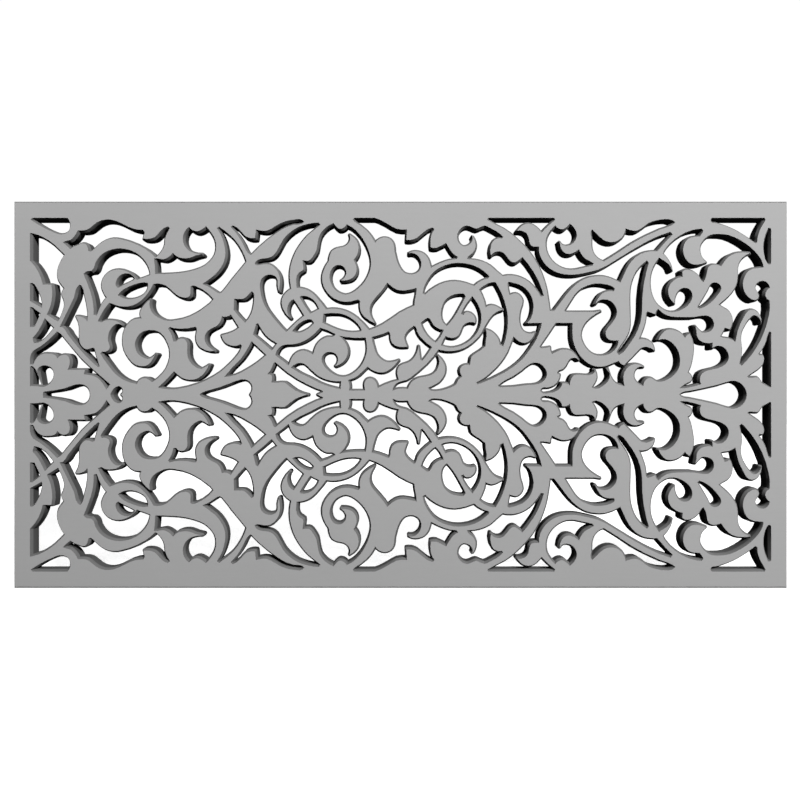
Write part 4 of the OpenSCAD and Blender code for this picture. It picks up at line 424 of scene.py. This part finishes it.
MIDDLE_CUTS = [
    # Teardrop at the left edge
    [[-554,0], [-553.5,4.5,1], [-535,7], [-520,10], [-508,14.5], [-498,16.5], [-489,15],
     [-483,9.5], [-480.5,0]],
    # Small heart
    [[-449.5,0], [-447.5,5], [-442,11.5], [-436.5,13.3], [-431,10], [-429.8,5.5],
     [-433,0,1]],
    # Long heart
    [[-311,0], [-307,3.5], [-295,7.5], [-278,12.5], [-262,18.7], [-250,23], [-241,23.8],
     [-234,20.5], [-229.8,14], [-229.5,7.5], [-233,0,1]],
    # Chevron round the pointed leaf
    [[-128.5,0,1], [-120,4,1], [-121,6.5,1], [-131,10], [-145,16.5], [-160,24.5],
     [-175,34.5], [-187,44.5], [-194,50.5,1], [-196.5,49.5,1], [-199,43], [-202,37],
     [-206.5,32,1], [-200,30.5,1], [-199,25.5], [-200.5,19,1], [-192,18.5], [-180,19],
     [-172,13], [-163,6.5], [-154,2.5], [-145,0,1]],
    # Long teardrop at the right
    [[432,0], [434.5,3], [448,6.2], [468,10.3], [490,15.3], [506,20.3], [516.5,21.8],
     [526,18.3], [533,11], [536.3,0]],
]


def whole(half):
    """A cut-out that crosses the middle joint, from its upper half."""
    return half + [[p[0], -p[1]] + p[2:] for p in half[-2:0:-1]]


def unit(v):
    return v / np.hypot(v[0], v[1])


def cross(a, b):
    return a[0] * b[1] - a[1] * b[0]


def between(a, b):
    """The angle between two unit vectors, in degrees."""
    return math.degrees(math.acos(max(-1.0, min(1.0, float(a @ b)))))


def turned(v, angle):
    c, s = math.cos(math.radians(angle)), math.sin(math.radians(angle))
    return np.array([v[0] * c - v[1] * s, v[0] * s + v[1] * c])


def winding(loop):
    """1 for a loop that runs anticlockwise as seen from the front, else -1."""
    return math.copysign(1, np.sum(cross(loop.T, np.roll(loop, -1, axis=0).T)))


def outline(loop):
    """The points of the curve through a loop's points, one list for each span, as in the part's source."""
    n = len(loop)
    pts = np.array([p[:2] for p in loop], float)
    sharp = [len(p) > 2 for p in loop]
    chord = [pts[(i + 1) % n] - pts[i] for i in range(n)]
    size = [float(np.hypot(*c)) for c in chord]
    side = winding(pts)

    def smooth_way(i):
        return unit(chord[i - 1] / size[i - 1] * size[i] + chord[i] / size[i] * size[i - 1])

    def mirrored(c, way):
        return 2 * float(c @ way) * c - way

    def ways(i):
        """The curve's directions at the two ends of span i."""
        j = (i + 1) % n
        c = unit(chord[i])
        a = smooth_way(i) if not sharp[i] else c if sharp[j] else mirrored(c, smooth_way(j))
        b = smooth_way(j) if not sharp[j] else c if sharp[i] else mirrored(c, smooth_way(i))
        return a, b

    spans = []
    for i in range(n):
        a, b = ways(i)
        c = unit(chord[i])
        turn = between(a, c) + between(c, b)
        reach = size[i] / math.cos(math.radians(min(turn, WIDEST_TURN) / 4)) ** 2
        by_curve = math.sqrt(size[i] * math.radians(turn) / 8 / CURVE_TOL)
        steps = max(1, math.ceil(turn / MOST_TURN), math.ceil(by_curve))
        points = [pts[i]]
        if sharp[i]:
            before = ways(i - 1)[1]
            bend = math.copysign(between(before, a), cross(before, a))
            if bend * side < -TIP_TURN:
                one = TIP_BLUNT * turned(before, bend / 3)
                two = TIP_BLUNT * turned(before, bend * 2 / 3)
                first = pts[i] - (one + two) / 2
                points = [first, first + one, first + one + two]
        for k in range(1, steps):
            s = k / steps
            bulge = reach * (a * s * (1 - s) ** 2 - b * s * s * (1 - s))
            points.append(pts[i] + chord[i] * s * s * (3 - 2 * s) + bulge)
        spans.append(points)
    return spans


def closed_loop(loop):
    return np.array([p for span in outline(loop) for p in span])


def upper_half(half):
    """The part of a middle cut-out above the middle joint, from one end on the joint to the other."""
    points = [p for span in outline(whole(half))[: len(half) - 1] for p in span]
    points = np.array(points + [np.array(half[-1][:2], float)])
    points[0, 1] = points[-1, 1] = 0.0
    return points


def pieces(line, closed):
    """The starts and the ends of a line's straight pieces."""
    return (line, np.roll(line, -1, axis=0)) if closed else (line[:-1], line[1:])


def full_outline(line, closed):
    """The outline all round a cut-out, also where the line is its upper half only."""
    return line if closed else np.vstack([line, line[::-1] * [1, -1]])


def coordinates(mesh):
    co = np.empty(len(mesh.vertices) * 3)
    mesh.vertices.foreach_get("co", co)
    return co.reshape(-1, 3)


def front_chains(obj):
    """The closed edges of a CAD leaf's front face, in millimetres from the panel's centre."""
    co = coordinates(obj.data) * MM_PER_M
    seen = {}
    same = [seen.setdefault(tuple(np.round(p, 3)), k) for k, p in enumerate(co)]
    edges = {}
    for poly in obj.data.polygons:
        vs = [same[v] for v in poly.vertices]
        if max(co[v][1] for v in vs) < -HALF_T + NEAR:
            for a, b in zip(vs, vs[1:] + vs[:1]):
                edges[(a, b)] = True
    after = {a: b for a, b in edges if (b, a) not in edges}
    chains = []
    while after:
        start = next(iter(after))
        chain, v = [], start
        while v in after:
            chain.append(v)
            v = after.pop(v)
        chains.append(np.array([[co[k][0], co[k][2] - MID_Z] for k in chain]))
    return chains


def inside(points, chains):
    """Which of the points lie on the face that the chains run round, holes left out."""
    x, z = points[:, 0], points[:, 1]
    turns = np.zeros(len(points), int)
    for chain in chains:
        for (ax, az), (bx, bz) in zip(*pieces(chain, True)):
            if az != bz:
                hit = ((az > z) != (bz > z)) & (x < (bx - ax) * (z - az) / (bz - az) + ax)
                turns[hit] += 1 if bz > az else -1
    return turns != 0


def on_rim(p):
    """Whether a point lies on the leaf's outer edges or on the middle joint."""
    return abs(abs(p[0]) - HALF_L) < NEAR or abs(p[1] - LEAF_H) < NEAR or abs(p[1]) < NEAR


def moved_in(chain, by):
    """A chain moved into the cut-outs. What lies on the rim stays on it.
    Where the moved line crosses itself, inside() leaves the loop out."""
    moved = []
    for a, p, b in zip(np.roll(chain, 1, axis=0), chain, np.roll(chain, -1, axis=0)):
        before, ahead = unit(p - a), unit(b - p)
        s1, s2 = np.array([before[1], -before[0]]), np.array([ahead[1], -ahead[0]])
        if not on_rim(p):
            least = TIP_MITRE if cross(before, ahead) > 0 else CORNER_MITRE
            moved.append(p + by * (s1 + s2) / max(1 + s1 @ s2, least))
        elif on_rim(a) and on_rim(b):
            moved.append(p)
        else:
            side = s2 if on_rim(a) else s1
            moved.append(p + [math.copysign(min(2 * by, by / abs(side[0])), side[0]), 0.0])
    return np.array(moved)


def wall_chains():
    """The lines of a carved leaf's walls: the edges of the solid's openings, moved in by CARVED_IN.
    The solid has a web 5 mm wide at the hook in the last centre cut-out, where its inset overshoots.
    That cut-out's walls follow the drawn curve, so that the gap is open as in the photograph."""
    hooked = closed_loop(CENTRE_CUTS[-1])
    if winding(hooked) > 0:
        hooked = hooked[::-1]
    chains = [c for c in front_chains(nodes["upper_fretwork"]) if not inside(c[:1], [hooked])[0]]
    return [moved_in(chain, CARVED_IN) for chain in chains] + [moved_in(hooked, ARRIS_W)]


def edge_distance(points, segments, batch=500):
    """Distance from each point to the nearest segment."""
    a, b = segments[:, 0], segments[:, 1]
    d = b - a
    ll = np.maximum((d * d).sum(1), 1e-12)
    out = np.empty(len(points))
    for k in range(0, len(points), batch):
        p = points[k : k + batch, None, :]
        t = np.clip(((p - a) * d).sum(2) / ll, 0, 1)
        q = a + t[..., None] * d
        out[k : k + batch] = np.sqrt(((p - q) ** 2).sum(2)).min(1)
    return out


def groove_points(line, closed):
    """Points along the bottom of the V-shaped grooves, where the two carved slopes of a narrow place
    meet. Each is the centre of the largest circle in the cut-out that touches the outline at a sample."""
    around = full_outline(line, closed)
    inward = winding(around)
    samples, normals = [], []
    for a, b in zip(*pieces(line, closed)):
        size = np.hypot(*(b - a))
        if size < GROOVE_PIECE:
            continue
        way = (b - a) / size
        count = max(1, int(size / GROOVE_STEP))
        for k in range(count):
            samples.append(a + (b - a) * (k + 0.5) / count)
            normals.append(np.array([-way[1], way[0]]) * inward)
    around = np.vstack([np.array(samples), around])
    found = []
    for p, normal in zip(samples, normals):
        v = around - p
        ahead = v @ normal
        ok = ahead > TOUCH
        r = ((v[ok] ** 2).sum(1) / (2 * ahead[ok])).min(initial=math.inf)
        q = p + normal * min(r, ARRIS_W)
        if GROOVE_EDGE < r < ARRIS_W - GROOVE_EDGE and q[1] > GROOVE_EDGE:
            near = found[-GROOVE_RECENT:]
            if all((q[0] - f[0]) ** 2 + (q[1] - f[1]) ** 2 > GROOVE_GAP ** 2 for f in near):
                found.append(q)
    return found


def leaf_mesh(name, chains):
    """The upper fretwork leaf as one closed mesh, in millimetres from the panel's centre.
    Its slopes run from the drawn outlines on the face down to the chains, where the walls begin."""
    drawn = [(closed_loop(loop), True) for loop in LEFT_CUTS + CENTRE_CUTS + RIGHT_CUTS]
    drawn += [(upper_half(half), False) for half in MIDDLE_CUTS]
    verts, edges = [], []
    for line, closed in drawn + [(chain, True) for chain in chains]:
        first, last = len(verts), len(verts) + len(line)
        verts.extend(Vector(p) for p in line)
        edges.extend((k, k + 1) for k in range(first, last - 1))
        if closed:
            edges.append((last - 1, first))
    drawn_count = sum(len(line) for line, closed in drawn)
    for line, closed in drawn:
        verts.extend(Vector(q) for q in groove_points(line, closed))
    joint = sorted((v[0], k) for k, v in enumerate(verts) if abs(v[1]) < TOUCH)
    edges.extend((a[1], b[1]) for a, b in zip(joint, joint[1:]) if a[0] != b[0])

    found, _, faces, sources, _, _ = delaunay_2d_cdt(verts, edges, [], 0, MERGE, True)
    flat = np.array([[v[0], v[1]] for v in found])
    tris = [f for f in faces if len(f) == 3]
    centres = np.array([flat[list(f)].mean(0) for f in tris])
    kept = [f for f, ok in zip(tris, inside(centres, chains)) if ok]

    on_face = edge_distance(flat, np.array([ends for cut in drawn for ends in zip(*pieces(*cut))]))
    on_board = ~inside(flat, [full_outline(line, closed) for line, closed in drawn])
    depth = []
    for k, (x, z) in enumerate(flat):
        at_face = abs(abs(x) - HALF_L) < NEAR or abs(z - LEAF_H) < NEAR
        at_face = at_face or any(source < drawn_count for source in sources[k])
        at_face = at_face or (on_board[k] and on_face[k] > NEAR)
        depth.append(0.0 if at_face else ARRIS_D * min(1.0, on_face[k] / ARRIS_W))

    bm = bmesh.new()
    made = {}

    def vert(k, back):
        """The vertex at point k of the triangulation, on the back face or on the carved front."""
        if (k, back) not in made:
            y = HALF_T if back else depth[k] - HALF_T
            made[k, back] = bm.verts.new((flat[k][0], y, flat[k][1]))
        return made[k, back]

    for f in kept:
        bm.faces.new([vert(k, False) for k in f])
    ways = set()
    for f in kept:
        bm.faces.new([vert(k, True) for k in reversed(f)])
        ways.update(zip(f, f[1:] + f[:1]))
    for a, b in ways:
        if (b, a) not in ways:
            bm.faces.new([vert(b, False), vert(a, False), vert(a, True), vert(b, True)])
    bmesh.ops.recalc_face_normals(bm, faces=bm.faces)
    for f in bm.faces:
        f.smooth = True
        mid = f.calc_center_median()
        lean = abs(f.normal.y)
        hidden = abs(mid.x) > HALF_L - NEAR or mid.z > LEAF_H - NEAR or mid.z < NEAR
        # Slopes and walls get the darker materials: painted shade.
        if hidden or lean >= FLAT_LEAN:
            f.material_index = FACE
        else:
            f.material_index = WALL if lean < WALL_LEAN else SLOPE
    for e in bm.edges:
        sides = e.link_faces
        at_foot = all(abs(v.co.y + HALF_T - ARRIS_D) < MERGE for v in e.verts)
        e.smooth = (len(sides) == 2 and not at_foot
                    and sides[0].normal.angle(sides[1].normal, 0.0) < math.radians(CREASE))
    mesh = bpy.data.meshes.new(name)
    bm.to_mesh(mesh)
    bm.free()
    return mesh


def placed(name, data):
    """A new object in the scene."""
    obj = bpy.data.objects.new(name, data)
    bpy.context.scene.collection.objects.link(obj)
    return obj


def placed_leaf(mesh, name, upper):
    """A leaf in the frame's place, in metres. The lower one is the mirror image of the upper."""
    copy = mesh.copy()
    copy.name = name
    co = coordinates(copy)
    co[:, 2] = MID_Z + (co[:, 2] if upper else -co[:, 2])
    copy.vertices.foreach_set("co", (co * M_PER_MM).ravel())
    if not upper:
        copy.flip_normals()
    copy.update()
    return placed(name, copy)


def connect(nt, node, inputs):
    """Gives each input of a shader node its value, or links another node's output to it."""
    for key, value in inputs.items():
        if isinstance(value, bpy.types.NodeSocket):
            nt.links.new(value, node.inputs[key])
        else:
            node.inputs[key].default_value = value


def add(nt, kind, inputs, **settings):
    """A new shader node with its settings and inputs."""
    node = nt.nodes.new("ShaderNode" + kind)
    for name, value in settings.items():
        setattr(node, name, value)
    connect(nt, node, inputs)
    return node


def paint_material(name, base, grain, gloss=0.12, painted_slope_shade=None):
    """Satin paint over wood: faint brush marks and pores under the film, and a little unevenness in the
    sheen. Given a share for the sloping faces, faces that slope back from the front are painted that much
    darker, as painted shade."""
    mat = bpy.data.materials.new(name)
    mat.use_nodes = True
    nt = mat.node_tree
    place = add(nt, "TexCoord", {}).outputs["Object"]
    along = add(nt, "Mapping", {"Scale": (18.0, 160.0, 160.0), "Vector": place}).outputs["Vector"]
    fibres = add(nt, "TexNoise", {"Scale": 1.6, "Detail": 5.0, "Roughness": 0.55, "Vector": along})
    blotch = add(nt, "TexNoise", {"Scale": 7.0, "Detail": 3.0, "Vector": place})
    peel = add(nt, "TexNoise", {"Scale": 420.0, "Detail": 2.0, "Vector": place})
    fibres, blotch, peel = [noise.outputs["Fac"] for noise in (fibres, blotch, peel)]

    both = add(nt, "Mix", {"Factor": 0.5, "A": fibres, "B": blotch}, data_type="FLOAT")
    ramp = add(nt, "ValToRGB", {"Fac": both.outputs["Result"]})
    for stop, position, share in zip(ramp.color_ramp.elements, (0.30, 0.70), (1 - grain, 1 + grain)):
        stop.position = position
        stop.color = (*[c * share for c in base], 1)
    colour = ramp.outputs["Color"]
    # Painted shade: faces that lean back from the front get a darker colour.
    if painted_slope_shade:
        normal = add(nt, "NewGeometry", {}).outputs["True Normal"]
        lean = add(nt, "SeparateXYZ", {"Vector": normal}).outputs["Y"]
        sloped = add(nt, "Math", {0: lean, 1: -0.5, 2: 0.3}, operation="COMPARE").outputs[0]
        tone = (painted_slope_shade, painted_slope_shade, painted_slope_shade, 1)
        darker = add(nt, "Mix", {}, data_type="RGBA", blend_type="MULTIPLY")
        connect(nt, darker, {"Factor": sloped, MIX_A: colour, MIX_B: tone})
        colour = darker.outputs[MIX_RESULT]

    rough = add(nt, "MapRange", {"To Min": 0.62, "To Max": 0.74, "Value": blotch})
    relief = add(nt, "Mix", {"Factor": 0.35, "A": peel, "B": fibres}, data_type="FLOAT")
    height = relief.outputs["Result"]
    bump = add(nt, "Bump", {"Strength": 0.12, "Distance": 0.0004, "Height": height})
    connect(nt, nt.nodes["Principled BSDF"], {
        "Base Color": colour,
        "Roughness": rough.outputs["Result"],
        "Normal": bump.outputs["Normal"],
        "Specular IOR Level": gloss,
    })
    return mat


def shown_to(nt, rays, shown, other, output):
    """Ends a shader with one look for these kinds of ray and another for the rest."""
    path = add(nt, "LightPath", {})
    seen = path.outputs[f"Is {rays[0]} Ray"]
    for ray in rays[1:]:
        flags = {0: seen, 1: path.outputs[f"Is {ray} Ray"]}
        seen = add(nt, "Math", flags, operation="MAXIMUM").outputs[0]
    mix = add(nt, "MixShader", {0: seen, 1: other.outputs[0], 2: shown.outputs[0]})
    add(nt, output, {"Surface": mix.outputs[0]})


def floor_material():
    """Pale floor: white to the camera and in reflections, with the object's shadow faint on it, and
    dull to other light."""
    mat = bpy.data.materials.new("pale_floor")
    mat.use_nodes = True
    nt = mat.node_tree
    nt.nodes.clear()
    glow = add(nt, "Emission", {"Color": (1, 1, 1, 1), "Strength": 0.67})
    shade = add(nt, "BsdfDiffuse", {"Color": (0.9, 0.9, 0.9, 1)})
    lit = add(nt, "AddShader", {0: glow.outputs[0], 1: shade.outputs[0]})
    dull = add(nt, "BsdfDiffuse", {"Color": (0.03, 0.03, 0.03, 1)})
    shown_to(nt, ("Camera", "Glossy", "Transmission"), lit, dull, "OutputMaterial")
    return mat


def white_world(fill):
    """White behind everything to the camera, and only a weak fill light on the object."""
    world = bpy.data.worlds.new("studio")
    bpy.context.scene.world = world
    world.use_nodes = True
    nt = world.node_tree
    nt.nodes.clear()
    white = add(nt, "Background", {"Color": (1, 1, 1, 1), "Strength": 1.02})
    weak = add(nt, "Background", {"Color": (1, 1, 1, 1), "Strength": fill})
    shown_to(nt, ("Camera", "Transmission"), white, weak, "OutputWorld")


def placed_lamp(data, energy, way):
    """A lamp that shines along way."""
    data.energy = energy
    obj = placed(data.name, data)
    obj.rotation_euler = Vector(way).to_track_quat("-Z", "Y").to_euler()
    return obj


def key_lamp(place, target, radius, cone, watts):
    """A soft spot lamp that falls off gently from its aim.
    It lights directly only, because the photograph's cuts are nearly black."""
    data = bpy.data.lights.new("key", "SPOT")
    data.shadow_soft_size = radius
    data.spot_size = math.radians(cone)
    data.spot_blend = 1.0
    data.cycles.max_bounces = 0
    obj = placed_lamp(data, watts, Vector(target) - Vector(place))
    obj.location = place
    obj.visible_camera = False


def sun_lamp(name, way, energy, spread=4):
    """Even light from one side, for the faces that the key lamp doesn't reach."""
    data = bpy.data.lights.new(name, "SUN")
    data.angle = math.radians(spread)
    placed_lamp(data, energy, way)


leaf = leaf_mesh("fretwork", wall_chains())
upper = placed_leaf(leaf, "carved_upper_leaf", True)
lower = placed_leaf(leaf, "carved_lower_leaf", False)
bpy.data.meshes.remove(leaf)

paint = paint_material("painted_wood", (0.42, 0.42, 0.42), 0.02)
# Painted shade: the carved slopes are painted darker than the face, standing in for the shade that falls
# on them.
slopes_with_painted_shade = paint_material("slope_paint_with_painted_shade", (0.20, 0.20, 0.20), 0.03, gloss=0.0)
# Painted shade: the walls of the cut-outs are painted darker still, standing in for the shade inside the
# openings.
cut_walls_with_painted_shade = paint_material("cut_wall_paint_with_painted_shade", (0.126, 0.126, 0.126), 0.04, gloss=0.0)
# Painted shade: the frame's sloping faces are painted darker by the share given.
frame_paint_with_slope_shade = paint_material("frame_paint_with_painted_slope_shade", (0.42, 0.42, 0.42), 0.02, painted_slope_shade=0.48)
wood = paint_material("beech", (0.60, 0.42, 0.24), 0.12)
for obj, node in ((upper, "upper_fretwork"), (lower, "lower_fretwork")):
    for material in (paint, slopes_with_painted_shade, cut_walls_with_painted_shade):
        obj.data.materials.append(material)
    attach(obj, "root")
    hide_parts(node)
for name, obj in nodes.items():
    if "fretwork" not in name:
        obj.data.materials.clear()
        obj.data.materials.append(wood if "dowels" in name else frame_paint_with_slope_shade)

floor_mesh = bpy.data.meshes.new("floor")
floor_mesh.from_pydata([(-2.6, -1.7, 0), (5.2, -1.7, 0), (5.2, 7, 0), (-2.6, 7, 0)], [], [(0, 1, 2, 3)])
floor_mesh.materials.append(floor_material())
floor = placed("floor", floor_mesh)

white_world(fill=0.012)
key_lamp(place=(5.4, -11.6, 6.9), target=(2.29, 0, 5.68), radius=0.8, cone=70, watts=16000)
sun_lamp("overhead", way=(0, 0, -1), energy=0.9, spread=90)
sun_lamp("back", way=(0, -1, 0), energy=3.1)
sun_lamp("left", way=(1, 0, 0), energy=0.2)

cam_data = bpy.data.cameras.new("camera")
cam_data.sensor_width = 36.0
cam_data.lens = 36.15
cam_data.shift_x = -0.0007
cam_data.shift_y = -0.0066
camera = placed("camera", cam_data)
camera.location = (0, -1.2565, 0.3)
camera.rotation_euler = (math.radians(90), 0, 0)
bpy.context.scene.camera = camera
bpy.context.scene.view_settings.view_transform = "Standard"
